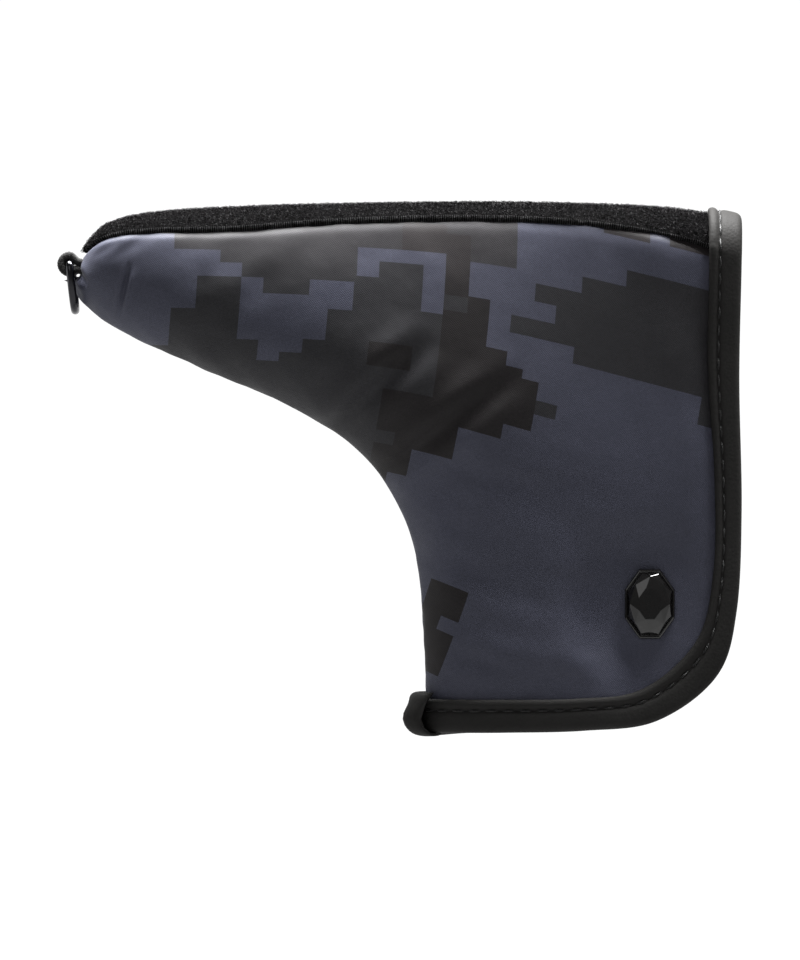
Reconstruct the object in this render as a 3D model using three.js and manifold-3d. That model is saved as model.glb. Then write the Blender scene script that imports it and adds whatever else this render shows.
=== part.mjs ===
// Blade putter head cover: a padded, L-shaped pouch of two printed fabric panels,
// joined by a pile tape over the sole and by a seam along the inner curve. The heel and
// the shaft exit are one open mouth, edged with folded binding, and its two corner
// flaps peel apart about a diagonal crease. Magnets hold the flaps shut, a cast stud
// marks them, and a ribbon tab at the toe carries a D-ring.
//
// Millimetres. +Z is up, towards the sole, as the cover sits on a putter whose shaft
// runs down. +X runs from toe to heel, -Y is the front. The origin lies on the shaft's
// axis at the lowest point of the mouth.
import * as THREE from "three";
import { mergeVertices } from "three/addons/utils/BufferGeometryUtils.js";
import Module from "manifold-3d";

const wasm = await Module();
wasm.setup();

// ---- Driving dimensions ----

// Layers of a panel, from the outside in, with the gap kept between touching pieces.
const SHELL_THICK = 0.7;
const PADDING_THICK = 3.6;
const LINING_THICK = 1.0;
const GAP = 0.3;
const MOUTH_PADDING_THICK = 1.5; // the padding is squeezed under the binding
const SQUEEZE_RUN = 4; // how far in from the binding it springs back to full thickness

const TAPE_THICK = 1.5; // pile tape over the sole
const SOLE_LINING_THICK = 0.9;

// Binding: a strip folded over the mouth's raw edge and sewn through.
const BINDING_WIDTH = 8.6;
const BINDING_THICK = 0.9;
const BINDING_GAP = 0.4; // between its legs and the layers that they clasp
const BINDING_OVERHANG = 1.3; // how far the fold stands beyond the panel's edge
const LAP_WIDTH = 9.5; // the strip's end, lapped over its start at the neck
const LAP_THICK = 0.7;
const LAP_OVERHANG = 2.4;

// Dimple where the magnets draw the two panels together, under the stud.
const STUD_X = 31.25;
const STUD_Z = 33.1;
const DIMPLE_HALF = 6.1; // distance of the dimple's flat floor from the middle plane
const DIMPLE_FLAT = 16; // radius of that floor
const DIMPLE_RADIUS = 25;

const MAGNET_RADIUS = 7.5;
const MAGNET_THICK = 2.0;
const STUD_WIDTH = 13.5;
const STUD_HEIGHT = 18.8;
const STUD_RISE = 3.4;
const STUD_GAP = 0.45; // between the stud and the shell that it sits on
const STUD_RIM = 1.1; // height of the stud's upright edge
const LEG_RADIUS = 0.6;
const LEG_SPACING = 9;
const WASHER_THICK = 0.4;

const CREASE_HALF_GAP = 0.35; // half the gap left along a flap's crease
const FOLD_SHOULDER = 0.75; // how much of its overhang a folded strip has at its corners
const LEG_CLEARANCE = 0.25; // round a leg in the washer
const HOLE_CLEARANCE = 0.35; // round a leg in the shell and the padding
const WASHER_CLEARANCE = 0.4;
const WASHER_POCKET = 3.4; // the depth of the washer's pocket, half of it each way
const MAGNET_POCKET = 4; // how much deeper the magnet's pocket is than the magnet
const CREASE_LOW = [-12, 2]; // where the crease meets the mouth's lower edge, x and z
const CREASE_HIGH = [54, 103]; // where it meets the heel edge

const TAB_WIDTH = 12;
const TAB_THICK = 1.5;
const TAB_RADIUS = 3.1; // outside of the ribbon's loop
const TAB_END_X = -111.9; // where the ribbon's ends stop, at the toe
const BAR_X = -113.4; // the D-ring's straight bar, which the ring turns about
const BAR_Z = 117.9;
const RING_WIDTH = 17;
const RING_HEIGHT = 13.6;
const RING_WIRE = 2.0;
const RING_LEAN = THREE.MathUtils.degToRad(6);

// Ribs across the pouch, from the toe's tip to the mouth, like a boat's frames. Each
// gives x and z on the inner seam, on the sole seam and on the sole's crest, then how
// far the sole seam lies from the middle plane, and how far the panel bellies past it.
const RIBS = [
  { inner: [-110.9, 115.0], seam: [-110.6, 119.4], crest: [-111.0, 119.7], half: 0.5, belly: 0.1 },
  { inner: [-111.3, 110.6], seam: [-108.2, 122.4], crest: [-109.2, 123.4], half: 7.5, belly: 1.2 },
  { inner: [-108.6, 106.2], seam: [-102.8, 125.0], crest: [-103.9, 128.2], half: 12.2, belly: 2.0 },
  { inner: [-101.2, 101.0], seam: [-92.5, 126.1], crest: [-93.0, 130.9], half: 13.5, belly: 2.6 },
  { inner: [-82.5, 92.3], seam: [-72.0, 126.5], crest: [-72.0, 132.3], half: 13.9, belly: 3.6 },
  { inner: [-60.0, 82.8], seam: [-45.0, 128.6], crest: [-45.0, 133.1], half: 14.3, belly: 4.6 },
  { inner: [-42.5, 71.8], seam: [-12.0, 129.4], crest: [-12.0, 133.5], half: 14.4, belly: 4.9 },
  { inner: [-32.0, 57.8], seam: [15.0, 128.0], crest: [15.0, 133.1], half: 13.7, belly: 4.3 },
  { inner: [-26.8, 40.0], seam: [36.0, 124.5], crest: [36.0, 132.1], half: 12.0, belly: 3.2 },
  { inner: [-25.0, 2.2], seam: [54.1, 119.8], crest: [54.3, 129.6], half: 9.6, belly: 0 },
];

// The panel's edge round the mouth, from the inner seam to the sole seam: x, z and its
// distance from the middle plane.
const MOUTH = [
  [-25.0, 2.2, 10.2],
  [-5.0, 2.3, 10.4],
  [15.0, 2.8, 9.4],
  [33.0, 5.2, 6.9],
  [47.9, 16.2, 5.7],
  [52.8, 32.2, 5.7],
  [54.0, 58.0, 6.2],
  [53.5, 90.0, 7.6],
  [54.1, 119.8, 9.6],
];
const MOUTH_ROUND = 0.11; // share of the mouth over which the neck seam rounds off
const CLOSING_FROM = 0.66; // where along the ribs the pouch starts to close
const SEAM_SOFTNESS = 12; // length over which the inner seam's edge rounds, in mm

// ---- Mesh density ----
const BODY_STEPS = 14;
const ACROSS_STEPS = 14;
const SOLE_STEPS = 6;
// Rows of points that follow the mouth, by their distance from its edge.
const MOUTH_ROWS = [16, BINDING_WIDTH, BINDING_WIDTH / 2, 0];

// ---- Small helpers ----
const { clamp, lerp, smoothstep } = THREE.MathUtils;
const vec = (x, y, z) => new THREE.Vector3(x, y, z);

// A smooth curve through three-number points, run by one parameter from 0 to 1.
function curveThrough(points) {
  const curve = new THREE.CatmullRomCurve3(
    points.map((p) => vec(...p)), false, "catmullrom", 0.5,
  );
  return (t) => curve.getPoint(clamp(t, 0, 1));
}

const innerCurve = curveThrough(RIBS.map((r) => [r.inner[0], 0, r.inner[1]]));
const seamCurve = curveThrough(RIBS.map((r) => [r.seam[0], r.half, r.seam[1]]));
const crestCurve = curveThrough(RIBS.map((r) => [r.crest[0], r.belly, r.crest[1]]));
const mouthCurve = curveThrough(MOUTH.map(([x, z, half]) => [x, half, z]));

// The padding and the lining stop short of the toe's tip, where the pouch is too narrow.
const INNER_LAYERS_SKIP = 2; // rows of the grid

// Across a rib the grid steps gather at the inner seam, where the edge is round.
const SEAM_CROWDING = 0.15;
const across = (q) => (q * q * (1 + SEAM_CROWDING)) / (q + SEAM_CROWDING);

// ---- The panel's outer surface ----

// Where a panel point lies in the middle plane: a patch between the inner seam, the
// sole seam and the mouth. v is 0 on the inner seam and 1 on the sole seam.
function panelPlace(u, v) {
  const a = innerCurve(u), b = seamCurve(u), m = mouthCurve(v);
  const a1 = innerCurve(1), b1 = seamCurve(1), pull = u ** 3;
  return [
    lerp(a.x, b.x, v) + pull * (m.x - lerp(a1.x, b1.x, v)),
    lerp(a.z, b.z, v) + pull * (m.z - lerp(a1.z, b1.z, v)),
  ];
}

const roundEdge = (t, power) => Math.sqrt(Math.max(0, 1 - (1 - clamp(t, 0, 1)) ** power));

// Half the pouch's thickness there.
function panelHalf(u, v) {
  const a = innerCurve(u), b = seamCurve(u);
  const length = Math.hypot(b.x - a.x, b.z - a.z);
  const seamHalf = b.y;
  const power = clamp(length / SEAM_SOFTNESS, 2, 6);
  const belly = crestCurve(u).y * Math.sin(Math.PI * v ** 0.85);
  const open = seamHalf * roundEdge(v, power) + belly;
  const shut = mouthCurve(v).y * roundEdge(v / MOUTH_ROUND, 2) * (seamHalf / seamCurve(1).y);
  const half = lerp(open, shut, smoothstep(u, CLOSING_FROM, 1));
  const [x, z] = panelPlace(u, v);
  const far = Math.hypot(x - STUD_X, z - STUD_Z);
  const dimpled = lerp(DIMPLE_HALF, half, smoothstep(far, DIMPLE_FLAT, DIMPLE_RADIUS));
  return Math.max(dimpled, GAP / 2);
}

function panelPoint(u, q) {
  const v = across(q);
  const [x, z] = panelPlace(u, v);
  return vec(x, -panelHalf(u, v), z);
}

// The sole's surface: an arc from one sole seam over the crest to the other. s is -1
// on the front seam, 0 on the crest and 1 on the back seam.
function solePoint(u, s) {
  const seam = seamCurve(u), crest = crestCurve(u);
  const rise = Math.hypot(crest.x - seam.x, crest.z - seam.z);
  const angle = 2 * Math.atan(rise / seam.y);
  const up = (Math.cos(angle * s) - Math.cos(angle)) / (1 - Math.cos(angle));
  return vec(
    lerp(seam.x, crest.x, up),
    (seam.y * Math.sin(angle * s)) / Math.sin(angle),
    lerp(seam.z, crest.z, up),
  );
}

// A surface's outward normal, from its own small steps.
function normalOf(surface, u, w, low, sign) {
  const d = 1e-3;
  const u0 = Math.max(u - d, 0), u1 = Math.min(u + d, 1);
  const w0 = Math.max(w - d, low), w1 = Math.min(w + d, 1);
  const du = surface(u1, w).sub(surface(u0, w));
  const dw = surface(u, w1).sub(surface(u, w0));
  return du.cross(dw).multiplyScalar(sign).normalize();
}
const panelNormal = (u, q) => normalOf(panelPoint, u, q, 0, 1);
const soleNormal = (u, s) => normalOf(solePoint, u, s, -1, 1);

// Inward direction of a panel's layers. It turns into the mitre shared with the sole
// along the sole seam, so that the two stacks of layers meet without overlapping.
function mitreAt(u) {
  const a = panelNormal(u, 1), b = soleNormal(u, -1);
  return a.clone().add(b).divideScalar(1 + a.dot(b)).negate();
}
function panelInward(u, q) {
  if (q === 0) return inwardAtSeam(u);
  const inward = panelNormal(u, q).negate();
  const share = smoothstep(q, 0.8, 1);
  return share > 0 ? inward.lerp(mitreAt(u), share) : inward;
}
// On the inner seam the edge is round, so inward lies in the middle plane.
function inwardAtSeam(u) {
  const along = innerCurve(Math.min(u + 1e-3, 1)).sub(innerCurve(Math.max(u - 1e-3, 0)));
  return along.cross(vec(0, 1, 0)).normalize();
}
function soleInward(u, s) {
  const inward = soleNormal(u, s).negate();
  const share = smoothstep(Math.abs(s), 0.5, 1);
  if (share <= 0) return inward;
  const mitre = mitreAt(u);
  mitre.y *= -Math.sign(s);
  return inward.lerp(mitre, share);
}

// How far a step of u moves away from the mouth's edge, square to that edge.
function mouthReach(q) {
  const d = 1e-3;
  const step = panelPoint(1, q).sub(panelPoint(1 - d, q)).divideScalar(d);
  const along = panelPoint(1, Math.min(q + d, 1)).sub(panelPoint(1, Math.max(q - d, 0)));
  along.normalize();
  return step.sub(along.multiplyScalar(step.dot(along))).length();
}
const soleReach = () => solePoint(1, 0).sub(solePoint(0.999, 0)).length() / 0.001;

// The grid's rows along u: even steps to the first mouth row, then rows along the mouth.
function rowAt(k, reach) {
  const first = 1 - MOUTH_ROWS[0] / reach;
  return k <= BODY_STEPS ? (first * k) / BODY_STEPS : 1 - MOUTH_ROWS[k - BODY_STEPS] / reach;
}
const ROWS = BODY_STEPS + MOUTH_ROWS.length - 1;

// Depth of each layer's faces below the outer surface, which the binding squeezes.
function squeeze(u, reach) {
  return smoothstep((1 - u) * reach, BINDING_WIDTH, BINDING_WIDTH + SQUEEZE_RUN);
}
function depthOf(face, u, reach) {
  const padding = lerp(MOUTH_PADDING_THICK, PADDING_THICK, squeeze(u, reach));
  const faces = {
    outside: 0,
    shellInside: SHELL_THICK,
    paddingOutside: SHELL_THICK + GAP,
    paddingInside: SHELL_THICK + GAP + padding,
    liningOutside: SHELL_THICK + GAP + padding + GAP,
    liningInside: SHELL_THICK + GAP + padding + GAP + LINING_THICK,
  };
  return faces[face];
}

// ---- Turning grids into solids ----

function geometryOf(points, triangles) {
  const g = new THREE.BufferGeometry();
  g.setAttribute(
    "position", new THREE.Float32BufferAttribute(points.flatMap((p) => [p.x, p.y, p.z]), 3),
  );
  g.setIndex(triangles.flat());
  return facingOut(g);
}

// Turns every triangle round if the surface encloses a negative volume.
function facingOut(g) {
  const p = g.getAttribute("position"), index = g.getIndex();
  const [a, b, c] = [vec(), vec(), vec()];
  let volume = 0;
  for (let i = 0; i < index.count; i += 3) {
    a.fromBufferAttribute(p, index.getX(i));
    b.fromBufferAttribute(p, index.getX(i + 1));
    c.fromBufferAttribute(p, index.getX(i + 2));
    volume += a.dot(b.cross(c));
  }
  if (volume < 0)
    for (let i = 0; i < index.count; i += 3) {
      const keep = index.getX(i);
      index.setX(i, index.getX(i + 2));
      index.setX(i + 2, keep);
    }
  return g;
}

// The closed solid between two grids of the same size, given as functions of row, column.
function slab(outer, inner, rows, columns) {
  const points = [], triangles = [];
  const width = columns + 1, layer = (rows + 1) * width;
  for (const face of [outer, inner])
    for (let i = 0; i <= rows; i++) for (let j = 0; j <= columns; j++) points.push(face(i, j));
  const quad = (a, b, c, d) => triangles.push([a, b, c], [a, c, d]);
  for (let i = 0; i < rows; i++)
    for (let j = 0; j < columns; j++) {
      const a = i * width + j, b = a + width, c = b + 1, d = a + 1;
      triangles.push([a, b, c], [a, c, d]);
      triangles.push([layer + a, layer + c, layer + b], [layer + a, layer + d, layer + c]);
    }
  for (let i = 0; i < rows; i++)
    for (const j of [0, columns]) {
      const a = i * width + j, b = a + width;
      if (j === 0) quad(a, layer + a, layer + b, b);
      else quad(a, b, layer + b, layer + a);
    }
  for (let j = 0; j < columns; j++)
    for (const i of [0, rows]) {
      const a = i * width + j, b = a + 1;
      if (i === 0) quad(a, b, layer + b, layer + a);
      else quad(a, layer + a, layer + b, b);
    }
  return geometryOf(points, triangles);
}

// A solid swept through closed loops of points, each the given section put in its place.
function sweep(loops, section) {
  const n = section.length, triangles = [];
  const flat = section.map(([a, b]) => new THREE.Vector2(a, b));
  const cap = THREE.ShapeUtils.triangulateShape(flat, []);
  loops.slice(1).forEach((_, k) => {
    for (let i = 0; i < n; i++) {
      const a = k * n + i, b = k * n + ((i + 1) % n);
      triangles.push([a, b, b + n], [a, b + n, a + n]);
    }
  });
  const last = (loops.length - 1) * n;
  for (const [a, b, c] of cap) triangles.push([a, c, b], [last + a, last + b, last + c]);
  return geometryOf(loops.flat(), triangles);
}

const mirrored = (g) => facingOut(g.clone().scale(1, -1, 1));

function solidOf(geometry) {
  const bare = geometry.clone();
  bare.deleteAttribute("normal");
  bare.deleteAttribute("uv");
  const merged = mergeVertices(bare, 1e-4);
  return new wasm.Manifold(
    new wasm.Mesh({
      numProp: 3,
      vertProperties: merged.getAttribute("position").array,
      triVerts: new Uint32Array(merged.getIndex().array),
    }),
  );
}
function geometryFrom(solid) {
  const m = solid.getMesh();
  const g = new THREE.BufferGeometry();
  g.setAttribute("position", new THREE.Float32BufferAttribute(m.vertProperties, 3));
  g.setIndex(new THREE.BufferAttribute(m.triVerts, 1));
  return g;
}

// ---- The crease that a flap folds about ----
const creaseRun = vec(CREASE_HIGH[0] - CREASE_LOW[0], 0, CREASE_HIGH[1] - CREASE_LOW[1]);
creaseRun.normalize();
const flapWay = vec(creaseRun.z, 0, -creaseRun.x); // square to the crease, towards the flap

// A block that fills one side of the crease, from the gap outwards.
function creaseSide(side) {
  const size = 400;
  const block = new THREE.BoxGeometry(size, size, size);
  block.rotateY(Math.atan2(-flapWay.z, flapWay.x));
  const out = flapWay.clone().multiplyScalar(side * (size / 2 + CREASE_HALF_GAP));
  return block.translate(out.x + CREASE_LOW[0], 0, out.z + CREASE_LOW[1]);
}
const pouchSide = solidOf(creaseSide(-1));
const flapSide = solidOf(creaseSide(1));

// ---- Panels ----

function panelLayer(outerFace, innerFace, skip = 0) {
  // The rim along the sole seam stands back, to leave room for the seam.
  const face = (name) => (i, j) => {
    const q = j / ACROSS_STEPS;
    const reach = mouthReach(q);
    const u = rowAt(i + skip, reach);
    const p = panelPoint(u, q);
    if (j === ACROSS_STEPS) p.addScaledVector(seamAway(u), GAP / 2 + 0.1);
    p.addScaledVector(panelInward(u, q), depthOf(name, u, reach));
    p.y = Math.min(p.y, -GAP / 2);
    return p;
  };
  return slab(face(outerFace), face(innerFace), ROWS - skip, ACROSS_STEPS);
}
// Direction along the panel, away from its sole seam.
function seamAway(u) {
  return panelPoint(u, 0.98).sub(panelPoint(u, 1)).normalize();
}

const SOLE_START = 0.055; // the tape's tapered end stops short of the toe's tip
const SOLE_START_STEP = 0.012; // the least step from one of its first rows to the next
const SOLE_CLEARANCE = GAP / 2 + 0.1;

function soleLayer(top, bottom) {
  const reach = soleReach();
  const face = (depth) => (i, j) => {
    const s = lerp(-1, 1, j / SOLE_STEPS);
    const u = Math.max(rowAt(i, reach), SOLE_START + SOLE_START_STEP * i);
    const p = solePoint(u, s);
    if (Math.abs(s) === 1) {
      const away = solePoint(u, s * 0.97).sub(solePoint(u, s)).normalize();
      p.addScaledVector(away, SOLE_CLEARANCE);
    }
    return p.addScaledVector(soleInward(u, s), depth);
  };
  return slab(face(top), face(bottom), ROWS, SOLE_STEPS);
}

// ---- Binding ----

// The folded strip's cross-section: distance in from the panel's edge, then height above
// the outer surface. Its legs reach the lining's inner face on the far side.
const stack = SHELL_THICK + GAP + MOUTH_PADDING_THICK + GAP + LINING_THICK;
const SEWN_AT = BINDING_WIDTH / 2; // the section has a point midway, to follow the panel

// A folded strip's section, closed round the panel's edge: how wide its legs are, how
// far its fold stands out, how deep a space it leaves under itself and how thick it is.
function foldSection(width, overhang, under, thick) {
  const over = under + thick, low = -stack - under, lowest = low - thick;
  const shoulder = -overhang * FOLD_SHOULDER;
  const outer = [
    [width, over], [SEWN_AT, over], [0, over], [shoulder, under], [-overhang, -stack / 2],
    [shoulder, low], [0, lowest], [SEWN_AT, lowest], [width, lowest],
  ];
  const inside = thick - overhang;
  return [...outer, [width, low], [SEWN_AT, low], [inside, low], [inside, under],
    [SEWN_AT, under], [width, under]];
}
const BINDING_SECTION = foldSection(
  BINDING_WIDTH, BINDING_OVERHANG, BINDING_GAP, BINDING_THICK,
);

// One cross-section at a station of the mouth. point(u) runs in from the edge.
function sectionAt(point, inward, reach, along, section) {
  const outward = inward(1).cross(along).normalize();
  if (outward.dot(point(1).sub(point(1 - 1e-3))) < 0) outward.negate();
  return section.map(([inFromEdge, height]) => {
    const u = 1 - Math.max(inFromEdge, 0) / reach;
    const p = point(u);
    if (inFromEdge < 0) p.addScaledVector(outward, -inFromEdge);
    return p.addScaledVector(inward(u), -height);
  });
}
function panelSection(q, section = BINDING_SECTION) {
  const d = 0.01; // long enough to feel the edge's turn at the inner seam
  const along = panelPoint(1, Math.min(q + d, 1)).sub(panelPoint(1, Math.max(q - d, 0)));
  return sectionAt(
    (u) => panelPoint(u, q), (u) => panelInward(u, q), mouthReach(q), along, section,
  );
}
function soleSection(s) {
  const d = 1e-3;
  const along = solePoint(1, s + d).sub(solePoint(1, s - d));
  return sectionAt(
    (u) => solePoint(u, s), (u) => soleInward(u, s), soleReach(), along, BINDING_SECTION,
  );
}
const toBack = (loop) => loop.map((p) => vec(p.x, -p.y, p.z));

function flapBinding() {
  const loops = [];
  for (let j = 0; j <= ACROSS_STEPS; j++) loops.push(panelSection(j / ACROSS_STEPS));
  return sweep(loops, BINDING_SECTION);
}

// Over the end of the sole tape, and down both heel edges as far as the creases.
function crownBinding() {
  const front = [], over = [];
  for (let j = Math.round(ACROSS_STEPS / 2); j <= ACROSS_STEPS; j++)
    front.push(panelSection(j / ACROSS_STEPS));
  for (let j = 1; j < SOLE_STEPS; j++) over.push(soleSection(lerp(-1, 1, j / SOLE_STEPS)));
  return sweep([...front, ...over, ...front.map(toBack).reverse()], BINDING_SECTION);
}

// Round the end of the inner seam, and along both lower edges as far as the creases.
function neckBinding() {
  const front = [];
  for (let j = 0; j <= Math.round(ACROSS_STEPS / 2); j++)
    front.push(panelSection(j / ACROSS_STEPS));
  const back = front.map(toBack);
  return sweep([...front.slice().reverse(), ...back], BINDING_SECTION);
}

// The strip's end, lapped over the neck binding where it passes the inner seam.
function lapBinding() {
  const under = BINDING_GAP + BINDING_THICK + GAP;
  const section = foldSection(LAP_WIDTH, LAP_OVERHANG, under, LAP_THICK);
  const front = [0, 1, 2].map((j) => panelSection(j / ACROSS_STEPS, section));
  return sweep([...front.slice().reverse(), ...front.map(toBack)], section);
}

// ---- Fittings ----

// Places a flat piece on the front panel at the stud, its own +Z facing out.
const studNormal = frontNormalAt(STUD_X, STUD_Z);
function frontNormalAt(x, z) {
  const [u, q] = nearestOnPanel(x, z);
  return panelNormal(u, q);
}
function nearestOnPanel(x, z) {
  let best = [1, 1], least = Infinity;
  for (let i = 0; i <= 200; i++)
    for (let j = 0; j <= 200; j++) {
      const p = panelPlace(i / 200, across(j / 200));
      const far = Math.hypot(p[0] - x, p[1] - z);
      if (far < least) [best, least] = [[i / 200, j / 200], far];
    }
  return best;
}
function onFront(geometry, depth) {
  const [u, q] = nearestOnPanel(STUD_X, STUD_Z);
  const turn = new THREE.Quaternion().setFromUnitVectors(vec(0, 0, 1), studNormal);
  // The piece's own +Y is kept towards the sole.
  const up = vec(0, 1, 0).applyQuaternion(turn);
  const wanted = vec(0, 0, 1).projectOnPlane(studNormal).normalize();
  const spin = Math.atan2(up.clone().cross(wanted).dot(studNormal), up.dot(wanted));
  turn.premultiply(new THREE.Quaternion().setFromAxisAngle(studNormal, spin));
  const at = panelPoint(u, q).addScaledVector(studNormal, -depth);
  return geometry.clone().applyQuaternion(turn).translate(at.x, at.y, at.z);
}

// The stud: an upright rim under two rings of flat facets that rise to a small table.
function studGem() {
  const sides = 8;
  const ring = (scale, height, turn) =>
    Array.from({ length: sides }, (_, i) => {
      const a = ((i + turn) / sides) * 2 * Math.PI;
      return vec(
        (STUD_WIDTH / 2) * scale * Math.cos(a), (STUD_HEIGHT / 2) * scale * Math.sin(a), height,
      );
    });
  const rings = [
    ring(1, 0, 0.5), ring(1, STUD_RIM, 0.5), ring(0.78, 2.5, 0), ring(0.42, STUD_RISE, 0.5),
  ];
  const points = rings.flat();
  const triangles = [];
  const join = (a, b) => {
    for (let i = 0; i < sides; i++) {
      const k = (i + 1) % sides;
      triangles.push([a + i, a + k, b + k], [a + i, b + k, b + i]);
    }
  };
  // Between a ring and the next one turned by half a side the facets are triangles.
  const zigzag = (a, b, ahead) => {
    for (let i = 0; i < sides; i++) {
      const k = (i + 1) % sides;
      if (ahead) triangles.push([a + i, a + k, b + k], [a + i, b + k, b + i]);
      else triangles.push([a + i, a + k, b + i], [a + k, b + k, b + i]);
    }
  };
  join(0, sides);
  zigzag(sides, 2 * sides, true);
  zigzag(2 * sides, 3 * sides, false);
  for (let i = 1; i < sides - 1; i++) {
    triangles.push([0, i + 1, i], [3 * sides, 3 * sides + i, 3 * sides + i + 1]);
  }
  return geometryOf(points, triangles);
}

const cylinder = (radius, height, sides = 12) =>
  new THREE.CylinderGeometry(radius, radius, height, sides).rotateX(Math.PI / 2);
const legPlaces = [-LEG_SPACING / 2, LEG_SPACING / 2];

function stud() {
  const length = STUD_GAP + SHELL_THICK + GAP + WASHER_THICK + 0.2 + 0.5;
  let solid = solidOf(studGem());
  for (const y of legPlaces) {
    const leg = cylinder(LEG_RADIUS, length, 8).translate(0, y, 0.5 - length / 2);
    solid = solid.add(solidOf(leg));
  }
  return onFront(geometryFrom(solid), -STUD_GAP);
}
const WASHER_SIZE = [8.5, 13.5];
function washer() {
  let solid = solidOf(new THREE.BoxGeometry(...WASHER_SIZE, WASHER_THICK));
  for (const y of legPlaces)
    solid = solid.subtract(solidOf(cylinder(LEG_RADIUS + LEG_CLEARANCE, 2, 8).translate(0, y, 0)));
  return onFront(geometryFrom(solid), SHELL_THICK + GAP + WASHER_THICK / 2);
}
const magnetDepth = SHELL_THICK + PADDING_THICK - MAGNET_THICK / 2;
const magnet = () => onFront(cylinder(MAGNET_RADIUS, MAGNET_THICK, 24), magnetDepth);

// What the fittings need taken out of the layers that hold them.
const legHoles = () =>
  legPlaces
    .map((y) => solidOf(onFront(cylinder(LEG_RADIUS + HOLE_CLEARANCE, 6, 8).translate(0, y, 0), 0)))
    .reduce((a, b) => a.add(b));
const washerPocket = () => {
  const [w, h] = WASHER_SIZE.map((side) => side + 2 * WASHER_CLEARANCE);
  return solidOf(onFront(new THREE.BoxGeometry(w, h, WASHER_POCKET), 0));
};
const magnetPocket = () => {
  const pocket = cylinder(MAGNET_RADIUS + GAP, MAGNET_THICK + MAGNET_POCKET, 24);
  return solidOf(onFront(pocket, magnetDepth + MAGNET_POCKET / 2 - GAP));
};

// The ribbon tab: a strap bent round the ring's bar, its two ends sewn in at the toe.
function ringTab() {
  const bend = TAB_RADIUS - TAB_THICK;
  const strap = new THREE.Shape();
  const endX = TAB_END_X - BAR_X;
  strap.moveTo(endX, TAB_RADIUS);
  strap.lineTo(0, TAB_RADIUS);
  strap.absarc(0, 0, TAB_RADIUS, Math.PI / 2, (3 * Math.PI) / 2, false);
  strap.lineTo(endX, -TAB_RADIUS);
  strap.lineTo(endX, -bend);
  strap.lineTo(0, -bend);
  strap.absarc(0, 0, bend, (3 * Math.PI) / 2, Math.PI / 2, true);
  strap.lineTo(endX, bend);
  const g = new THREE.ExtrudeGeometry(strap, {
    depth: TAB_WIDTH, bevelEnabled: false, curveSegments: 10,
  });
  return g.rotateX(Math.PI / 2).translate(BAR_X, TAB_WIDTH / 2, BAR_Z);
}

// The D-ring: a flat cast ring, its bar on top, leaning towards the toe.
const RING_CORNER = 1.6;
const RING_BEVEL = 0.45;

function ringOutline(inset) {
  const w = RING_WIDTH / 2 - inset, top = RING_WIRE / 2 - inset;
  const low = RING_WIRE / 2 - RING_HEIGHT + inset;
  const corner = Math.max(RING_CORNER - inset, RING_BEVEL);
  const shape = new THREE.Shape();
  shape.moveTo(-w + corner, top);
  shape.lineTo(w - corner, top);
  shape.quadraticCurveTo(w, top, w, top - corner);
  shape.bezierCurveTo(w, low + 2, w * 0.45, low, 0, low);
  shape.bezierCurveTo(-w * 0.45, low, -w, low + 2, -w, top - corner);
  shape.quadraticCurveTo(-w, top, -w + corner, top);
  return shape;
}
function dRing() {
  const bevel = RING_BEVEL;
  const shape = ringOutline(bevel);
  shape.holes.push(new THREE.Path(ringOutline(RING_WIRE - bevel).getPoints(6).reverse()));
  const g = new THREE.ExtrudeGeometry(shape, {
    depth: RING_WIRE - 2 * bevel, curveSegments: 6,
    bevelThickness: bevel, bevelSize: bevel, bevelSegments: 1,
  });
  g.translate(0, 0, bevel - RING_WIRE / 2).rotateX(Math.PI / 2).rotateZ(Math.PI / 2);
  return g.rotateY(-RING_LEAN).translate(BAR_X, 0, BAR_Z);
}

// ---- Materials ----
const material = (color, roughness, metalness = 0) =>
  new THREE.MeshStandardMaterial({ color, roughness, metalness });
const printedTwill = material(0x3d3f4c, 0.62);
const foam = material(0x2b2b2d, 0.95);
const fleece = material(0x1c1c1e, 0.95);
const pileTape = material(0x1d1d1d, 0.98);
const bindingLeather = material(0x2c2b29, 0.55);
const ribbon = material(0x1e1d1c, 0.8);
const blackNickel = material(0x26262a, 0.22, 1);
const blackEnamel = material(0x0c0b0b, 0.12);
const plate = material(0x8b8d90, 0.4, 1);

// ---- Assembly ----
const cover = new THREE.Group();
function add(name, geometry, finish) {
  const mesh = new THREE.Mesh(geometry, finish);
  mesh.name = name;
  cover.add(mesh);
}

// Each layer of a panel is one piece of cloth or foam, cut at the crease into the part
// that stays with the pouch and the part that turns with the flap.
function addSplit(name, flapName, geometry, finish, cuts = []) {
  let solid = solidOf(geometry);
  for (const cut of cuts) solid = solid.subtract(cut);
  add(name, geometryFrom(solid.intersect(pouchSide)), finish);
  add(flapName, geometryFrom(solid.intersect(flapSide)), finish);
}
const backSolid = (geometry) => solidOf(mirrored(geometry));

const shell = panelLayer("outside", "shellInside");
const padding = panelLayer("paddingOutside", "paddingInside", INNER_LAYERS_SKIP);
const lining = panelLayer("liningOutside", "liningInside", INNER_LAYERS_SKIP);

addSplit("front_shell", "front_flap_shell", shell, printedTwill, [legHoles()]);
addSplit("front_padding", "front_flap_padding", padding, foam, [washerPocket(), magnetPocket()]);
addSplit("front_lining", "front_flap_lining", lining, fleece);
addSplit("back_shell", "back_flap_shell", mirrored(shell), printedTwill);
addSplit("back_padding", "back_flap_padding", mirrored(padding), foam, [
  backSolid(geometryFrom(magnetPocket())),
]);
addSplit("back_lining", "back_flap_lining", mirrored(lining), fleece);

add("sole_tape", soleLayer(0, TAPE_THICK), pileTape);
add("sole_lining", soleLayer(TAPE_THICK + GAP, TAPE_THICK + GAP + SOLE_LINING_THICK), fleece);

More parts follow.
